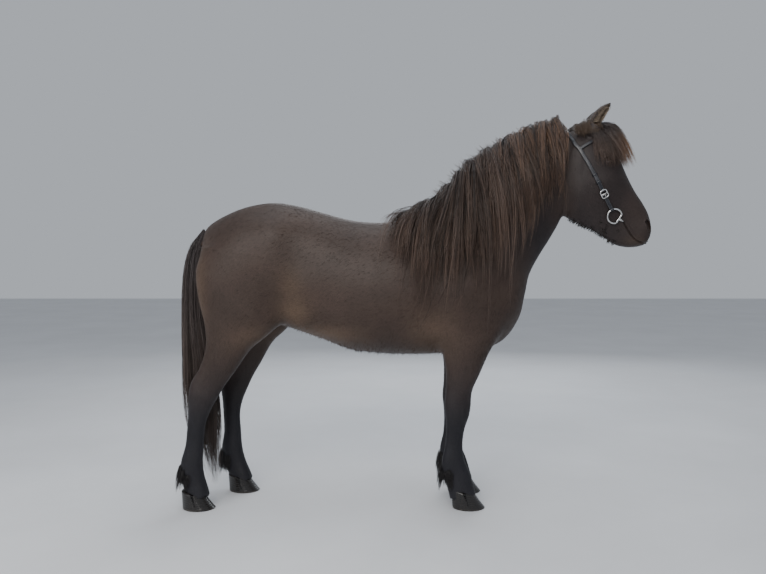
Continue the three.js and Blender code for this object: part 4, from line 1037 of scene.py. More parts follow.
def build_forelock(field, material):
    """Bushy hair that rises between the ears, stands off the forehead and hangs over the eyes."""
    body = BodyField(field.values, field.grids)
    guides = []
    for count, root_x, ahead_values, side_values in FORELOCK_LAYERS:
        share = scattered(count) * 2 - 1
        share = np.sign(share) * np.abs(share) ** 0.8
        angle = share * FORELOCK_FAN
        ahead = np.maximum(np.cos(angle * 0.9), 0) ** 1.2
        lift, length = (side + (front - side) * ahead for front, side in zip(ahead_values, side_values))
        x = (root_x + 34 * rng.random(count) * np.abs(share) - 36 * share**2) * MM
        roots = body.to_height(columns(x, share * FORELOCK_ROOT[0], FORELOCK_ROOT[1]), 0)
        heading = columns(np.cos(angle) + 0.4, np.sin(angle) * 1.1, 0.1 + 0.15 * ahead)
        lengths = length * MM * (1 - 0.22 * rng.random(count) ** 2)
        lifts = lift * MM * (1 + 0.12 * rng.random(count))
        drifts = 0.16 + 0.42 * ahead + 0.12 * rng.normal(size=count)
        hang = {"turn": 0.1, "cling": 0.8, "rest": 130 * MM}
        guides.append(hanging_runs(body, roots, heading, lengths, lifts, 8 * MM, drifts, **hang))
    guides = np.concatenate(guides)
    strands = strands_from(field, guides, 18, 9, (16 * MM, 9 * MM), 0.85, 2.4 * MM, 0.68, trim=True)
    tips = strands[0][:, -1, 0]
    warm = smoothstep(0.95, 1.03, tips) * 0.9 + 0.12
    grow("forelock", material, strands, (1.2, 0.8), (0.15, 0.12), warm=warm)


POLL_GUIDES = 120
POLL_ROOT = (20 * MM, 1.775)  # half width and height of its roots


def build_poll_hair(field, material):
    """Hair of the poll, lying outwards and back over the roots of the ears to the crown strap."""
    body = BodyField(field.values, field.grids)
    count = POLL_GUIDES
    x = (738 + 112 * rng.random(count)) * MM
    out = rng.random(count) * 2 - 1
    roots = body.to_height(columns(x, out * POLL_ROOT[0], POLL_ROOT[1]), 0)
    heading = columns(rng.normal(0.0, 0.08, count), np.sign(out) * (0.6 + 0.4 * np.abs(out)), 0.5)
    lengths = (115 + 35 * rng.random(count)) * MM
    lifts = (6 + 14 * rng.random(count)) * MM
    rises = (6 + 10 * rng.random(count)) * MM
    drifts = rng.normal(0.08, 0.06, count)
    guides = hanging_runs(body, roots, heading, lengths, lifts, rises, drifts, turn=0.14, knots=16)
    strands = strands_from(field, guides, 18, 8, (14 * MM, 6 * MM), 0.9, 1.2 * MM, 0.7, trim=True)
    grow("poll_hair", material, strands, (1.3, 0.8), (0.13, 0.12))


JAW_LINE = [(716, 1336), (762, 1313), (822, 1284), (872, 1257), (912, 1229), (960, 1206)]
JAW_GUIDES = 130
EAR_GUIDES = 80


def jaw_hair(field):
    """Roots, headings and lengths of the hair under the jaw and chin."""
    count = JAW_GUIDES
    even = np.linspace(0, 1, len(JAW_LINE))
    x, z = (np.interp(rng.random(count), even, v) * MM for v in zip(*JAW_LINE))
    out = rng.random(count) * 2 - 1
    roots = field.to_height(columns(x, out * 34 * MM, z - 4 * MM), 0)
    heading = columns(rng.normal(-0.7, 0.3, count), out * 0.3, -1)
    return roots, heading, (5 + 10 * rng.random(count)) * MM


def ear_hair():
    """Roots, headings and lengths of the hair that crosses the ears' cups from their edges."""
    count = EAR_GUIDES
    mirror = columns(1, np.where(np.arange(count) % 2, 1.0, -1.0), 1)
    t = 0.12 + 0.6 * rng.random(count)
    edge = np.where(rng.random(count) < 0.5, 1.0, -1.0)
    radius = np.interp(t, *EAR_WIDTHS) * MM
    forward = -EAR_BOW * np.sin(math.pi * t) - radius * 0.25
    roots = EAR_BASE + np.outer(t * ear_length, ear_axis) + np.outer(forward, ear_opening)
    roots = roots + np.outer(edge * radius * 0.8, ear_across)
    inward = ear_axis * 0.9 + ear_opening * 0.5
    inward = inward - np.outer(edge * (0.35 + 0.3 * rng.random(count)), ear_across)
    return roots * mirror, inward * mirror, (26 + 14 * rng.random(count)) * MM


def build_fringe(field, materials):
    """Longer coat under the jaw and chin, and hair inside the ears."""
    fringes = [
        # name, roots with headings and lengths, strands of a guide, droop
        ("jaw_fringe", jaw_hair(field), 10, (-0.15, 0, -0.3)),
        ("ear_hair", ear_hair(), 12, (0.25, 0, -0.1)),
    ]
    for name, runs, per_guide, droop in fringes:
        guides = bent_runs(*runs, np.array(droop))
        strands = strands_from(field, guides, per_guide, 5, (8 * MM, 4 * MM), 0.5, 0.8 * MM, 0.5, 0.2 * MM)
        grow(name, materials[name], strands, (0.8, 0.5), (0.1, 0.12), "coat")


TAIL_GUIDES = 190
TAIL_ROWS = [
    # height, middle, reach fore and aft, reach to the sides
    (70, -958, 40, 34),
    (300, -1010, 86, 54),
    (500, -1022, 92, 56),
    (700, -1042, 74, 52),
    (850, -1055, 62, 48),
    (950, -1058, 57, 46),
    (1088, -1056, 52, 44),
    (1183, -1048, 40, 38),
    (1232, -1036, 28, 32),
    (1262, -1022, 20, 26),
    (1290, -1002, 12, 16),
]


def tail_at(z, column):
    rows = np.array(TAIL_ROWS) * MM
    reach = np.interp(z, rows[:, 0], rows[:, column])
    return reach if column == 1 else np.maximum(reach - 8 * MM, 3 * MM)


def build_tail(field, material):
    """Hair rooted all along the dock, that bulges back a little and hangs to the fetlocks."""
    count = TAIL_GUIDES
    angle = rng.random(count) * 2 * math.pi
    radius = rng.random(count) ** 0.4
    front = np.cos(angle)
    root_z = (1282 - 200 * rng.random(count) ** 1.4 * (0.6 + 0.4 * front)) * MM
    tip_z = (300 - 200 * (front + 1) / 2) * MM * (1 + 0.4 * rng.normal(size=count))
    tip_z = np.clip(tip_z, 0.075, 0.52)
    shares = np.linspace(0, 1, 26)[None]
    z = root_z[:, None] * (1 - shares) + tip_z[:, None] * shares
    run = (root_z[:, None] - z) / (90 * MM)
    open_out = (0.25 + 0.75 * smoothstep(0, 1, run)) * (1 - 0.3 * smoothstep(0.75, 1, shares))
    x = tail_at(z, 1) + (front * radius)[:, None] * tail_at(z, 2) * open_out
    y = (np.sin(angle) * radius)[:, None] * tail_at(z, 3) * open_out
    wander = rng.normal(0, 6, count)[:, None] * MM * np.sin(shares * 5 + angle[:, None]) * shares
    guides = columns(x + wander, y + wander * 0.6, z)
    paths, _, which = strands_from(field, guides, 20, 10, (8 * MM, 8 * MM), 0.7, 3.0 * MM, 0.62)
    outward = columns(paths[..., 0] - tail_at(paths[..., 2], 1), paths[..., 1], 0.001)
    grow("tail_hair", material, (paths, unit_rows(outward), which), (1.4, 1.0), (0.15, 0.15))


FEATHER_GUIDES = 60
FEATHER_TURN = 1.9  # half the angle that it covers round the back of the fetlock
FEATHER_RADIUS = 34
FEATHER_PLACES = [
    # name, side, middle of the leg, back of the fetlock, share of the hind step
    ("feather_fore_right", RIGHT, 115, 118, 0),
    ("feather_fore_left", LEFT, 115, 118, 0),
    ("feather_hind_right", RIGHT, 126, -1078, 0),
    ("feather_hind_left", LEFT, 126, -1078, 0.81),
]


def build_feather(field, material):
    """The long hair behind each fetlock."""
    count = FEATHER_GUIDES
    for name, side, sideways, back, stepped in FEATHER_PLACES:
        angle = (rng.random(count) * 2 - 1) * FEATHER_TURN
        to_side = np.abs(angle) / FEATHER_TURN
        out = columns(-np.cos(angle), np.sin(angle), 0)
        middle = np.array([(back + FEATHER_RADIUS) * MM + stepped * HIND_STEP, side * sideways * MM, 0])
        roots = middle + out * FEATHER_RADIUS * MM
        roots[:, 2] = (214 - 60 * rng.random(count) - 30 * to_side) * MM
        roots = field.to_height(roots, 0)
        heading = columns(out[:, 0] * 0.38, out[:, 1] * 0.25, -1)
        lengths = (84 - 36 * to_side) * MM * (1 + 0.12 * rng.normal(size=count))
        hang = {"turn": 0.04, "cling": 0.0, "knots": 12}
        guides = hanging_runs(field, roots, heading, lengths, 5 * MM, 0, -0.05, **hang)
        strands = strands_from(field, guides, 12, 6, (13 * MM, 6 * MM), 0.95, 1.4 * MM, 0.5)
        grow(name, material, strands, (1.1, 0.7), (0.12, 0.1), fade=0.6)


def lie_of_coat(p):
    """Direction that the short coat grows in, before it is laid on the skin."""
    rules = [
        # direction, weight
        ((-0.88, 0, -0.45), np.ones(len(p))),
        ((-0.45, 0, -0.9), 4 * smoothstep(0.15, 0.42, p[:, 0])),
        ((-0.4, 0, -0.9), 3 * smoothstep(-0.72, -0.92, p[:, 0])),
        ((-0.12, 0, -1), 12 * (1 - smoothstep(0.66, 0.86, p[:, 2]))),
        ((0.55, 0, -0.84), 30 * smoothstep(0.70, 0.82, p[:, 0])),
    ]
    return unit_rows(sum(np.outer(weight, direction) for direction, weight in rules))


def tuft_size(p):
    """Length of the coat's tufts at each place, in metres."""
    size = np.full(len(p), 13.0)
    size += 4 * bell(p[:, 2], 0.72, 0.05) * (p[:, 0] > -0.6) * (p[:, 0] < 0.35)
    size = np.where(p[:, 2] < 0.62, 11.0, size)
    face = smoothstep(0.72, 0.86, p[:, 0])
    size = size * (1 - face) + (11 - 7 * smoothstep(0.86, 1.06, p[:, 0])) * face
    return size * MM


QUICK_TUFTS, FULL_TUFTS = 12000, 120000
TUFT_ROOT_DEPTH = 0.12 * MM
TUFT_HALF_WIDTH = 0.085  # share of its length
TUFT_FACES = np.array([(0, 2, 1), (0, 1, 3), (1, 2, 3), (2, 0, 3)])
TUFT_PATCH = np.array([(-0.5, -0.5), (0.5, -0.5), (0, 0), (0, 0.5)])
LOWEST_TUFT = 0.085


def build_coat(vertices, quads, material):
    """Short tufts all over the skin: slim solid wedges that lie along the coat."""
    a, b, c, d = (vertices[quads[:, k]] for k in range(4))
    area = np.linalg.norm(np.cross(c - a, d - b), axis=1) / 2
    middles = (a + b + c + d) / 4
    density = 1 + 1.6 * smoothstep(0.70, 0.85, middles[:, 0]) + 0.8 * (middles[:, 2] < 0.6)
    share = np.cumsum(area * density)
    count = FULL_TUFTS
    chosen = np.searchsorted(share, rng.random(count) * share[-1])
    u, v = rng.random((2, count, 1))
    low = a[chosen] * (1 - u) + b[chosen] * u
    high = d[chosen] * (1 - u) + c[chosen] * u
    roots = low * (1 - v) + high * v
    outs = unit_rows(np.cross(c - a, d - b))[chosen]
    keep = roots[:, 2] > LOWEST_TUFT
    roots, outs = roots[keep], outs[keep]
    lie = lie_of_coat(roots)
    lie = unit_rows(lie - outs * row_dot(lie, outs) + rng.normal(0, 0.1, lie.shape))
    size = (tuft_size(roots) * (0.7 + 0.6 * rng.random(len(roots))))[:, None]
    rise = (0.03 + 0.05 * rng.random(len(roots)))[:, None]
    half = size * TUFT_HALF_WIDTH
    across = unit_rows(np.cross(lie, outs)) * half
    sunk = roots - outs * TUFT_ROOT_DEPTH
    crown = roots + outs * half * 0.16 + lie * size * 0.3
    tips = roots + (lie + outs * rise) * size
    corners = np.stack([sunk + across, sunk - across, crown, tips], 1)
    marks = {"tone": np.clip(rng.normal(0.5, 0.2, len(roots)), 0, 1)[:, None]}
    small_solids("coat", material, "coat", corners, TUFT_FACES, roots, TUFT_PATCH, marks, numbered=True)


# Pieces of few faces: bridle, eyes and hooves. A part is an array of vertices and one of triangles.
def tube(rings, ends=None, closed=False):
    """The skin of rings of points, as a part. An open one has a fan at each end, round the given points."""
    n, m = rings.shape[:2]
    vertices, faces = rings.reshape(-1, 3), side_faces(n, m, closed)
    if not closed:
        ends = [rings[0].mean(axis=0), rings[-1].mean(axis=0)] if ends is None else ends
        vertices = np.concatenate([vertices, ends])
        j = np.arange(m)
        k, low = (j + 1) % m, (n - 1) * m
        faces = np.concatenate([faces, columns(n * m, k, j), columns(n * m + 1, low + j, low + k)])
    a, b, c = (vertices[faces[:, k]] for k in range(3))
    inside_out = np.einsum("ij,ij->", a, np.cross(b, c)) < 0
    return vertices, faces[:, ::-1] if inside_out else faces


def swept(points, outs, section, closed=False):
    """A closed section of (across, out) offsets, swept along points, as a part."""
    section = np.asarray(section)
    forward = np.roll(points, -1, axis=0) - np.roll(points, 1, axis=0)
    forward = unit_rows(forward) if closed else along_axis(points)
    across = unit_rows(np.cross(forward, outs))
    up = np.cross(across, forward)
    rings = points[:, None] + across[:, None] * section[..., :1] + up[:, None] * section[..., 1:]
    return tube(rings, closed=closed)


def together(parts):
    """Several parts as one, and for each vertex the number of its part."""
    starts = np.cumsum([0] + [len(vertices) for vertices, _ in parts[:-1]])
    which = np.concatenate([np.full(len(vertices), k) for k, (vertices, _) in enumerate(parts)])
    vertices = np.concatenate([vertices for vertices, _ in parts])
    faces = np.concatenate([faces + start for (_, faces), start in zip(parts, starts)])
    return vertices, faces, which


def small_boxes(centres, directions, outs, half):
    """Boxes of one half size, along their directions, as one part."""
    across = unit_rows(np.cross(directions, outs))
    axes = np.stack([directions, across, np.cross(across, directions)], 1)
    signs = (np.array(CORNERS) * 2 - 1) * half
    vertices = centres[:, None] + np.einsum("kc,ncj->nkj", signs, axes)
    quads = [(0, 1, 3, 2), (4, 6, 7, 5), (0, 4, 5, 1), (2, 3, 7, 6), (0, 2, 6, 4), (1, 5, 7, 3)]
    box = np.array([half for a, b, c, d in quads for half in ((a, b, c), (a, c, d))])
    return vertices.reshape(-1, 3), copied_faces(box, 8, len(centres))


def circle(radius, count=12):
    turn = np.arange(count) / count * 2 * math.pi
    return columns(np.cos(turn), np.sin(turn)) * radius


def run_lengths(points):
    """How far along a run each of its points lies."""
    return np.concatenate([[0], np.cumsum(np.linalg.norm(np.diff(points, axis=0), axis=1))])


def read_along(spots, run, values):
    """Rows of values, known at the lengths run, read at spots."""
    return columns(*(np.interp(spots, run, column) for column in values.T))


def smooth_run(places, count):
    """Evenly spaced points on a smooth curve through places."""
    fine = smooth_curve(places, np.linspace(0, len(places) - 1, 30 * len(places)))
    run = run_lengths(fine)
    return read_along(np.linspace(0, run[-1], count), run, fine)


# Bridle: runs of the straps on the right side from crown to bit, as [x, side, z] in millimetres.
CROWN_RUN = [(700, 0, 1775), (704, 44, 1755), (716, 78, 1728), (738, 94, 1696), (758, 100, 1660)]
CHEEK_RUN = [(790, 104, 1602), (822, 106, 1542), (850, 104, 1487), (868, 98, 1452)]
LOWER_CHEEK_RUN = [(872, 98, 1444), (886, 92, 1418), (900, 86, 1394), (906, 82, 1384)]
BROW_RUN = [(895, 0, 1742), (886, 46, 1736), (857, 84, 1716), (822, 100, 1698), (790, 104, 1683)]
BROW_RUN.append(CROWN_RUN[-1])
STRAP_WIDTH = 18 * MM
BROW_WIDTH = 14 * MM
STRAP_THICKNESS = 4 * MM
STRAP_LIFT = 1.5 * MM
STITCH_PITCH = 4.2 * MM
STITCH_INSET = 2.4 * MM
STITCH_HALF = (1.4 * MM, 0.4 * MM, 0.35 * MM)
LOOP_PLACES = (9, 16, -17, -10)  # points of the headpiece that its keeper loops lie on
LOOP_WIDTH = 9 * MM
LOOP_THICKNESS = 2 * MM
LOOP_CLEARANCE = (1.5 * MM, 1.2 * MM)  # beside the strap and over it
LOOP_TUCK = 1 * MM
KEEPER = (15 * MM, 21 * MM, 5 * MM)  # length, width and corner of the frame at the crown
KEEPER_WIRE = 2 * MM
BUCKLE_RUN = [(872, 97, 1443), (886, 92, 1418)]
BUCKLE = (37 * MM, 31 * MM, 8 * MM)
BUCKLE_WIRE = 2.7 * MM
BUCKLE_LIFT = STRAP_THICKNESS + 5.5 * MM
BUCKLE_BAR_HALF = 15 * MM
BUCKLE_BAR_RADII = (2, 2.6, 2.6, 2)
TONGUE_LENGTH = 20 * MM
TONGUE_RADII = (1.8, 2, 1.7, 1.2)
BIT_PLACE = (0.927, 1.343)
BIT_LIFT = 9 * MM
BIT_RADIUS = 34 * MM
BIT_TUBE = 4 * MM
BAR_OFFSET = 25 * MM
BAR_RADII = (3, 4.6, 4.2, 3.8, 4.2, 4.6, 3)
MOUTHPIECE_RADII = (5, 7, 6.5, 6, 6)
MOUTHPIECE_SUNK = 7 * MM
LIP_CORNER = (0.975, 1.315)
FOLD_TURN = 0.26  # half the angle of the bit ring that the cheekpiece folds round
FOLD_THICKNESS = 3.2 * MM
STRAP_END_SHIFT = (0.1, 0.35, 0.7, 1)  # how much the cheekpiece's last points follow the fold


def on_side(run, side):
    return np.array(run) * (1, side, 1) * MM


def over_top(run):
    """A run that starts on the middle plane, from its right end over the top to its left end."""
    return np.concatenate([on_side(run, RIGHT)[::-1], on_side(run, LEFT)[1:]])


def strap_path(field, places, count):
    """Points on the coat along places, and the directions out of it."""
    points = field.to_height(smooth_run(places, count), COAT_DEPTH + STRAP_LIFT)
    for _ in range(3):
        points[1:-1] = (points[:-2] + 2 * points[1:-1] + points[2:]) / 4
    return points, field.normal(points)


def strap_section(width, thickness):
    """A flat strap with rounded edges, its inner face at zero."""
    w, t = width / 2, thickness
    corner = 0.35 * t
    right = [(w - corner, 0), (w, corner), (w, t - corner), (w - corner, t), (w * 0.5, t * 1.06)]
    return right + [(-a, b) for a, b in right[::-1]]


def strap_parts(points, outs, width):
    """A strap with a row of stitches along each edge: the leather, then the thread."""
    run = run_lengths(points)
    spots = np.arange(2 * STITCH_PITCH, run[-1] - STITCH_PITCH, STITCH_PITCH)
    middle, out, ahead = (read_along(spots, run, v) for v in (points, outs, along_axis(points)))
    across = unit_rows(np.cross(ahead, out))
    top = middle + out * STRAP_THICKNESS * 1.04
    rows = [top + across * sign * (width / 2 - STITCH_INSET) for sign in (-1, 1)]
    thread = [small_boxes(row, ahead, out, STITCH_HALF) for row in rows]
    return [swept(points, outs, strap_section(width, STRAP_THICKNESS))], thread


def leather_object(name, leather, thread, material):
    vertices, faces, which = together([*leather, *thread])
    obj = mesh_object(name, vertices, faces)
    point_attribute(obj, "thread", which >= len(leather))
    finish_piece(obj, material, "bridle_leather", name)


def metal_object(name, parts, material):
    vertices, faces, _ = together(parts)
    finish_piece(mesh_object(name, vertices, faces), material, "bridle_metal", name)


def local_frame(field, place, toward):
    """Origin on the coat at place, with the axes along (to toward), across and out."""
    origin = field.to_height(place[None], COAT_DEPTH)[0]
    out = field.normal(origin[None])[0]
    along = toward - origin
    along = unit(along - out * (along @ out))
    return origin, along, np.cross(out, along), out


def frame_loop(place_frame, size, lift, radius):
    """A round wire bent to a rounded rectangle over a strap."""
    origin, along, across, out = place_frame
    long, wide, corner = size
    points = []
    for k, (sx, sy) in enumerate(((1, 1), (-1, 1), (-1, -1), (1, -1))):
        for step in range(5):
            turn = math.pi / 2 * (k + step / 4)
            a = sx * (long / 2 - corner) + corner * math.cos(turn)
            b = sy * (wide / 2 - corner) + corner * math.sin(turn)
            points.append(origin + along * a + across * b + out * lift)
    return swept(np.array(points), out, circle(radius), closed=True)


def rod(start, end, radii, out):
    """A straight round rod with the radius given in millimetres at evenly spaced places."""
    points = start + (end - start) * np.linspace(0, 1, len(radii))[:, None]
    return swept(points, out, np.stack([circle(radius * MM) for radius in radii]))


def build_bit(field, name, side, leather, metal):
    """A D-shaped ring with the end of the mouthpiece, and the short strap that hangs it from the buckle."""
    at, normal = side_point(*BIT_PLACE, side)
    at = at + normal * BIT_LIFT
    lip, lip_normal = side_point(*LIP_CORNER, side)
    along = lip - at
    along = unit(along - normal * (along @ normal))
    across = np.cross(normal, along)

    def on_ring(start, end, count):
        turns = np.linspace(start, end, count)[:, None]
        return at + (along * np.cos(turns) + across * np.sin(turns)) * BIT_RADIUS

    cut = math.acos(BAR_OFFSET / BIT_RADIUS)
    ring = swept(on_ring(cut, 2 * math.pi - cut, 49), normal, circle(BIT_TUBE, 14))
    bar_half = across * (math.sqrt(BIT_RADIUS**2 - BAR_OFFSET**2) + 3 * MM)
    middle = at + along * BAR_OFFSET
    bar = rod(middle - bar_half, middle + bar_half, BAR_RADII, normal)
    mouth = rod(middle, lip - lip_normal * MOUTHPIECE_SUNK, MOUTHPIECE_RADII, normal)
    metal_object(f"bit_{name}", [ring, bar, mouth], metal)

    points, outs = strap_path(field, on_side(LOWER_CHEEK_RUN, side), 16)
    end = points[-1]
    angle = math.atan2((end - at) @ across, (end - at) @ along)
    held = on_ring(angle - FOLD_TURN, angle + FOLD_TURN, 9)
    fold = swept(held, normal, circle(BIT_TUBE + FOLD_THICKNESS, 16))
    strap_end = held[4] - unit(held[4] - at) * (BIT_TUBE - 1 * MM)
    shift = strap_end + (end - strap_end) * 0.25 - end
    points[-4:] += np.outer(STRAP_END_SHIFT, shift)
    strap, thread = strap_parts(points, outs, STRAP_WIDTH)
    leather_object(f"bridle_cheekpiece_{name}", [*strap, fold], thread, leather)


def build_bridle(field, leather, metal):
    """Headpiece, browband, and on each side a keeper frame, a buckle, a lower cheekpiece and a bit."""
    body = BodyField(field.values, field.grids)
    points, outs = strap_path(body, over_top([*CROWN_RUN, *CHEEK_RUN]), 150)
    strap, thread = strap_parts(points, outs, STRAP_WIDTH)
    for k in LOOP_PLACES:
        across = np.cross(unit(points[k + 1] - points[k - 1]), outs[k])
        over = np.outer(np.linspace(-1, 1, 9), across) * (STRAP_WIDTH / 2 + LOOP_CLEARANCE[0])
        arch = points[k] + over + outs[k] * (STRAP_THICKNESS + LOOP_CLEARANCE[1])
        arch[[0, -1]] -= outs[k] * (STRAP_THICKNESS + LOOP_TUCK)
        strap.append(swept(arch, outs[k], strap_section(LOOP_WIDTH, LOOP_THICKNESS)))
    leather_object("bridle_headpiece", strap, thread, leather)
    brow, brow_outs = strap_path(body, over_top(BROW_RUN), 90)
    leather_object("bridle_browband", *strap_parts(brow, brow_outs, BROW_WIDTH), leather)
    for name, side in SIDES:
        keeper = local_frame(body, *on_side(CROWN_RUN[1:3], side))
        wire = frame_loop(keeper, KEEPER, STRAP_THICKNESS - 1 * MM, KEEPER_WIRE)
        metal_object(f"bridle_keeper_{name}", [wire], metal)
        place = local_frame(body, *on_side(BUCKLE_RUN, side))
        origin, along, across, out = place
        bar_ends = [origin + across * sign * BUCKLE_BAR_HALF + out * BUCKLE_LIFT for sign in (-1, 1)]
        tongue_start = origin - along * 1 * MM + out * (BUCKLE_LIFT + 2 * MM)
        tongue_end = tongue_start + along * TONGUE_LENGTH + out * 0.4 * MM
        buckle = [
            frame_loop(place, BUCKLE, BUCKLE_LIFT, BUCKLE_WIRE),
            rod(*bar_ends, BUCKLE_BAR_RADII, out),
            rod(tongue_start, tongue_end, TONGUE_RADII, out),
        ]
        metal_object(f"bridle_buckle_{name}", buckle, metal)
        build_bit(body, name, side, leather, metal)


EYE_ROWS, EYE_COLUMNS = 48, 64
EYE_BALL = 0.996  # share of EYE_RADIUS, just inside the lids
EYE_BULGE = 0.035
EYE_BULGE_REACH = 0.5


def build_eye(name, side, material):
    """A ball with a bulging front; its places over the iris are stored for the material."""
    centre, out, fold, up = (v * (1, side, 1) for v in (eye_centre, eye_out, eye_fold, eye_up))
    polar = np.linspace(0, math.pi, EYE_ROWS + 1)[1:-1, None]
    radius = EYE_RADIUS * (EYE_BALL + EYE_BULGE * bell(polar, 0, EYE_BULGE_REACH))
    u, v = (radius * np.sin(polar) * part for part in circle(1, EYE_COLUMNS).T)
    rings = centre + columns(u, v, radius * np.cos(polar)) @ np.stack([fold, up, out])
    poles = [centre + out * radius[0], centre - out * EYE_RADIUS]
    obj = mesh_object(f"eye_{name}", *tube(rings, poles))
    for mark, places in (("across_iris", u), ("up_iris", v)):
        point_attribute(obj, mark, np.append(places.ravel(), [0, 0]) / EYE_RADIUS)
    finish_piece(obj, material, "eye", f"eye_{name}")


CORONET_SLOPE = -0.24
HOOF_LEAN = 34 * MM
# Heel, toe, height of the coronet, half width and place from the middle plane, in millimetres.
FORE_HOOF = (168, 320, 66, 60, 114)
HIND_HOOF = (-1066, -917, 62, 57, 124)
HOOF_LEVELS = ([0, 0.03, 0.05, 0.55, 1.0], [0.955, 0.985, 1.0, 0.93, 0.872])
HOOF_AROUND, HOOF_ROWS = 72, 40
HOOF_TOP = ([1.06, 1.12], [0.82, 0.6])  # shares of height and width inside the hair
HEEL_NOTCH = (0.07, 0.16)  # depth, reach


def hoof_ring(hoof, side, step, share, turns, grow):
    """Points round the hoof at a share of its height, on planes that tilt towards the coronet's."""
    heel, toe, coronet, half, sideways = (v * MM for v in hoof)
    front = np.cos(turns)
    along = front * (toe - heel) / 2 * grow - HOOF_LEAN * share * np.where(front > 0, 1, 0.45)
    y = side * sideways + np.sin(turns) * half * grow * np.where(front < 0, 1 - 0.1 * front**2, 1)
    return columns((heel + toe) / 2 + step + along, y, share * (coronet + CORONET_SLOPE * along))


def build_hoof(name, hoof, side, step, material):
    """The horn wall with growth rings, a bevelled edge at the ground, heel bulbs and a flat sole."""
    turns = np.arange(HOOF_AROUND) / HOOF_AROUND * 2 * math.pi
    depth, reach = HEEL_NOTCH
    notch = depth * bell(turns, math.pi, reach)
    shares = np.concatenate([[0, 0.02], np.linspace(0.05, 1.0, HOOF_ROWS)])
    rings = []
    for share in shares:
        growth = 0.006 * np.sin(share * 46 + 0.5 * np.sin(turns))
        growth += 0.004 * np.sin(share * 113 + 2 * np.cos(turns))
        growth *= smoothstep(0.06, 0.2, share)
        grow = np.interp(share, *HOOF_LEVELS) + growth - notch * (1 - 0.4 * share)
        rings.append(hoof_ring(hoof, side, step, share, turns, grow))
    rings += [hoof_ring(hoof, side, step, share, turns, shrink) for share, shrink in zip(*HOOF_TOP)]
    obj = mesh_object(f"hoof_{name}", *tube(np.stack(rings)))
    heights = np.repeat([*shares, *HOOF_TOP[0]], HOOF_AROUND)
    point_attribute(obj, "height", np.append(heights, [0, HOOF_TOP[0][-1]]))
    finish_piece(obj, material, "hoof", f"hoof_{name}")


class Nodes:
    """Short calls to build a procedural material."""

    def __init__(self, name):
        self.material = bpy.data.materials.new(name)
        self.material.use_nodes = True
        self.tree = self.material.node_tree
        self.shader = self.tree.nodes["Principled BSDF"]

    def join(self, value, socket):
        if isinstance(value, bpy.types.NodeSocket):
            self.tree.links.new(value, socket)
        elif socket.type == "RGBA":
            socket.default_value = (*value[:3], 1)
        else:
            socket.default_value = value

    def add(self, kind, inputs=(), **settings):
        node = self.tree.nodes.new("ShaderNode" + kind)
        for key, value in settings.items():
            setattr(node, key, value)
        for key, value in dict(inputs).items():
            self.join(value, node.inputs[key])
        return node

    def place(self, scale=(1, 1, 1)):
        coordinates = self.add("TexCoord").outputs["Object"]
        return self.add("Mapping", {"Vector": coordinates, "Scale": scale}).outputs["Vector"]

    def noise(self, scale, vector=None, detail=4.0, rough=0.6):
        inputs = {"Scale": scale, "Detail": detail, "Roughness": rough}
        inputs["Vector"] = vector or self.place()
        return self.add("TexNoise", inputs).outputs["Fac"]

    def attribute(self, name):
        return self.add("Attribute", attribute_name=name).outputs["Fac"]

    def mix(self, share, a, b):
        node = self.add("Mix", data_type="RGBA")
        for key, value in ((0, share), (6, a), (7, b)):
            self.join(value, node.inputs[key])
        return node.outputs[2]

    def math(self, operation, a, b=0.0, clamp=False):
        node = self.add("Math", operation=operation, use_clamp=clamp)
        self.join(a, node.inputs[0])
        self.join(b, node.inputs[1])
        return node.outputs[0]

    def squares(self, a, b):
        """The sum of the squares of two values."""
        return self.math("ADD", self.math("MULTIPLY", a, a), self.math("MULTIPLY", b, b))

    def range(self, value, low, high, to_low=0.0, to_high=1.0):
        inputs = {"Value": value, "From Min": low, "From Max": high, "To Min": to_low, "To Max": to_high}
        return self.add("MapRange", inputs).outputs["Result"]

    def valued(self, color, value):
        return self.add("HueSaturation", {"Color": color, "Value": value}).outputs["Color"]

    def bump(self, height, strength, distance):
        inputs = {"Height": height, "Strength": strength, "Distance": distance}
        return self.add("Bump", inputs).outputs["Normal"]

    def finish(self, color, roughness=0.5, normal=None, **fixed):
        self.join(color, self.shader.inputs["Base Color"])
        self.join(roughness, self.shader.inputs["Roughness"])
        if normal is not None:
            self.join(normal, self.shader.inputs["Normal"])
        for key, value in fixed.items():
            self.join(value, self.shader.inputs[key.replace("_", " ")])
        return self.material


COAT_COLOR = (0.045, 0.0295, 0.0235)
COAT_WARM = (0.19, 0.125, 0.08)
# near-black of the legs and face, also used as painted shade at the front of the neck
COAT_BLACK_AND_SHADE = (0.014, 0.0135, 0.017)
COAT_PALE = (0.36, 0.28, 0.205)


def coat_color(n):
    """Seal brown, browner at the flank and black on the legs, with painted shade at the front of the neck and
    a painted sheen on the nose, mottled on a large scale.
    """
    color = n.mix(n.attribute("warm"), COAT_COLOR, COAT_WARM)
    # the "black" mark: black legs and face, painted shade at the front of the neck, less black at the nose
    # for a painted sheen
    color = n.mix(n.attribute("black"), color, COAT_BLACK_AND_SHADE)
    color = n.mix(n.attribute("pale"), color, COAT_PALE)
    return n.valued(color, n.range(n.noise(4.0), 0.3, 0.7, 0.78, 1.2))


def skin_material():
    n = Nodes("coat_skin")
    grain = n.noise(150.0, n.place((1, 2.4, 2.0)), detail=3.0, rough=0.7)
    color = n.valued(coat_color(n), n.range(grain, 0.25, 0.75, 0.68, 1.3))
    streaks = n.noise(34.0, n.place((1.6, 6, 4.5)), detail=7.0, rough=0.78)
    return n.finish(color, 0.5, n.bump(streaks, 0.3, 0.002), Specular_IOR_Level=0.25)


def tuft_material():
    n = Nodes("coat_tufts")
    color = n.valued(coat_color(n), n.range(n.attribute("tone"), 0.0, 1.0, 0.7, 1.4))
    return n.finish(color, 0.5, Specular_IOR_Level=0.25)


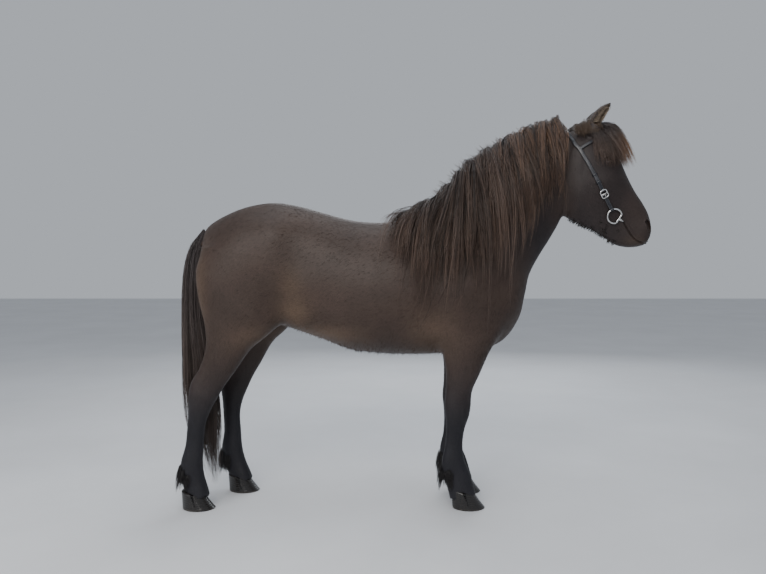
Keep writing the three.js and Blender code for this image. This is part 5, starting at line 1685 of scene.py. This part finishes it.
def hair_material(name, root, tip, warm_tip=None, warm_from=(0.45, 1.0)):
    """Long hair: darker at the root, paler and browner to the tip, each strand with its own tone."""
    n = Nodes(name)
    along = n.attribute("along")
    color = n.mix(n.range(along, 0.15, 0.95), root, tip)
    if warm_tip:
        share = n.math("MULTIPLY", n.range(along, *warm_from), n.attribute("tip_warm"), clamp=True)
        color = n.mix(share, color, warm_tip)
    color = n.valued(color, n.range(n.attribute("tone"), 0.0, 1.0, 0.35, 1.75))
    return n.finish(color, 0.42, Specular_IOR_Level=0.35)


def leather_material():
    n = Nodes("bridle_leather")
    grain = n.noise(420.0, detail=5.0, rough=0.65)
    wear = n.range(n.noise(38.0, detail=6.0), 0.45, 0.75)
    color = n.mix(wear, (0.012, 0.013, 0.018), (0.035, 0.036, 0.045))
    color = n.mix(n.attribute("thread"), color, (0.12, 0.115, 0.11))
    roughness = n.range(wear, 0.0, 1.0, 0.32, 0.5)
    return n.finish(color, roughness, n.bump(grain, 0.25, 0.0006), Specular_IOR_Level=0.55)


def metal_material():
    n = Nodes("bridle_metal")
    scratches = n.noise(260.0, n.place((1, 1, 7)), detail=6.0, rough=0.7)
    dull = n.range(n.noise(60.0), 0.4, 0.7)
    color = n.mix(dull, (0.78, 0.78, 0.78), (0.52, 0.5, 0.47))
    roughness = n.range(scratches, 0.3, 0.75, 0.14, 0.34)
    return n.finish(color, roughness, n.bump(scratches, 0.12, 0.0004), Metallic=1.0)


PUPIL_WIDE, PUPIL_HIGH = 0.44, 0.2


def eye_material():
    """Dark brown iris with fine spokes and a wide pupil that lies across, under a wet front."""
    n = Nodes("eye")
    across, up = n.attribute("across_iris"), n.attribute("up_iris")
    from_middle = n.math("SQRT", n.squares(across, up))
    pupil = n.squares(n.math("DIVIDE", across, PUPIL_WIDE), n.math("DIVIDE", up, PUPIL_HIGH))
    spokes = n.noise(620.0, n.place((1, 1, 0.6)), detail=5.0, rough=0.7)
    iris = n.mix(n.range(spokes, 0.35, 0.7), (0.016, 0.007, 0.003), (0.075, 0.033, 0.014))
    color = n.mix(n.range(pupil, 0.8, 1.15), (0.003, 0.004, 0.006), iris)
    rim = n.mix(n.range(n.noise(90.0), 0.3, 0.7), (0.02, 0.012, 0.01), (0.05, 0.034, 0.028))
    color = n.mix(n.range(from_middle, 0.9, 0.98), color, rim)
    return n.finish(color, 0.04, Specular_IOR_Level=0.6, Coat_Weight=0.6, Coat_Roughness=0.02)


def hoof_material():
    """Oiled black horn with fine fibres down the wall and darker and paler growth rings."""
    n = Nodes("hoof_horn")
    height = n.attribute("height")
    fibres = n.noise(130.0, n.place((3, 3, 0.22)), detail=6.0, rough=0.7)
    bands = n.math("SINE", n.math("MULTIPLY", height, 60.0))
    color = n.mix(n.range(fibres, 0.3, 0.75), (0.006, 0.006, 0.006), (0.024, 0.02, 0.018))
    color = n.valued(color, n.range(bands, -1.0, 1.0, 0.75, 1.2))
    dust = n.math("MULTIPLY", n.range(height, 0.16, 0.0), n.range(n.noise(50.0), 0.4, 0.65), clamp=True)
    color = n.mix(dust, color, (0.08, 0.07, 0.06))
    roughness = n.range(fibres, 0.3, 0.75, 0.14, 0.3)
    return n.finish(color, roughness, n.bump(fibres, 0.3, 0.0008), Specular_IOR_Level=0.5)


FLOOR_HALF = 14.0
FLOOR_COLOR = (0.62, 0.63, 0.65)
SKY_COLOR = (0.82, 0.87, 0.94)
SKY_STRENGTH = 0.55
SENSOR_WIDTH = 36
LIGHTS = [
    # name, place, target, size, power, colour
    ("key", (-1.0, -3.8, 3.4), (0, 0, 0.9), (3.2, 2.0), 150, (1, 0.97, 0.93)),
    ("top", (-0.4, 0.2, 4.2), (0, 0, 1), (4.0, 2.4), 60, (0.92, 0.96, 1)),
    ("fill", (-3.2, -3.0, 1.8), (0, 0, 0.9), (2.4, 2.4), 30, (1, 1, 1)),
    ("back", (0.5, 4.0, 2.6), (0, 0, 1), (4.0, 2.0), 80, (0.92, 0.96, 1)),
]


def build_studio():
    """Pale floor, soft lights and the camera at the photo's viewing angle."""
    corners = [(x * FLOOR_HALF, y * FLOOR_HALF, 0) for x, y in ((-1, -1), (1, -1), (1, 1), (-1, 1))]
    floor = mesh_object("floor", corners, np.array([[0, 1, 2, 3]]), smooth=False)
    n = Nodes("floor_pale")
    shade = n.range(n.noise(1.2), 0.3, 0.7, 0.94, 1.03)
    floor.data.materials.append(n.finish(n.valued(FLOOR_COLOR, shade), 0.8))
    world = bpy.data.worlds.new("studio")
    world.use_nodes = True
    sky = world.node_tree.nodes["Background"]
    sky.inputs["Color"].default_value = (*SKY_COLOR, 1)
    sky.inputs["Strength"].default_value = SKY_STRENGTH
    bpy.context.scene.world = world
    for name, place, target, size, power, color in LIGHTS:
        light = bpy.data.lights.new(name, "AREA")
        light.shape = "RECTANGLE"
        light.size, light.size_y = size
        light.energy = power
        light.color = color
        lamp = in_scene(name, light)
        lamp.location = place
        lamp.rotation_euler = (Vector(target) - Vector(place)).to_track_quat("-Z", "Y").to_euler()
    view = bpy.data.cameras.new("camera")
    width, height = IMAGE_SIZE
    view.sensor_width = SENSOR_WIDTH
    view.lens = FOCAL_PIXELS / width * SENSOR_WIDTH
    view.shift_x = (width / 2 - STRAIGHT_AHEAD[0]) / width
    view.shift_y = (STRAIGHT_AHEAD[1] - height / 2) / width
    camera = in_scene("camera", view)
    camera.location = CAMERA_PLACE
    camera.rotation_euler = (math.pi / 2, 0, 0)
    bpy.context.scene.camera = camera


build_studio()
skin, skin_vertices, skin_quads, skin_field = build_skin()
flesh = ["torso", "neck", "head", "tail"]
for side_name, _ in SIDES:
    flesh += [f"ear_{side_name}", f"foreleg_{side_name}", f"hindleg_{side_name}"]
finish_piece(skin, skin_material(), "coat", *flesh)
build_coat(skin_vertices, skin_quads, tuft_material())
HAIR_COLORS = {
    # name: root, tip, colour of the warm strands, share of the strand where the warm colour comes in
    "mane_hair": ((0.02, 0.0165, 0.017), (0.1, 0.068, 0.054), (0.22, 0.13, 0.083), (-0.1, 0.4)),
    "crest_hair": ((0.02, 0.015, 0.013), (0.09, 0.056, 0.036)),
    "forelock_hair": ((0.032, 0.026, 0.025), (0.08, 0.058, 0.05), (0.26, 0.14, 0.07), (0.5, 1.0)),
    "poll_hair": ((0.03, 0.023, 0.02), (0.1, 0.07, 0.05)),
    "tail_hair": ((0.042, 0.034, 0.034), (0.07, 0.052, 0.044)),
    "feather_hair": ((0.02, 0.018, 0.019), (0.032, 0.028, 0.028)),
    "jaw_fringe": ((0.016, 0.014, 0.014), (0.035, 0.027, 0.024)),
    "ear_hair": ((0.2, 0.15, 0.11), (0.4, 0.32, 0.24)),
}
hair = {name: hair_material(name, *colors) for name, colors in HAIR_COLORS.items()}
build_mane(skin_field, hair["mane_hair"])
build_crest_tufts(skin_field, hair["crest_hair"])
build_forelock(skin_field, hair["forelock_hair"])
build_poll_hair(skin_field, hair["poll_hair"])
build_fringe(skin_field, hair)
build_tail(skin_field, hair["tail_hair"])
build_feather(skin_field, hair["feather_hair"])
build_bridle(skin_field, leather_material(), metal_material())
eye_look = eye_material()
for side_name, side in SIDES:
    build_eye(side_name, side, eye_look)
horn = hoof_material()
for side_name, side in SIDES:
    build_hoof(f"fore_{side_name}", FORE_HOOF, side, 0, horn)
    build_hoof(f"hind_{side_name}", HIND_HOOF, side, HIND_STEP if side == LEFT else 0, horn)
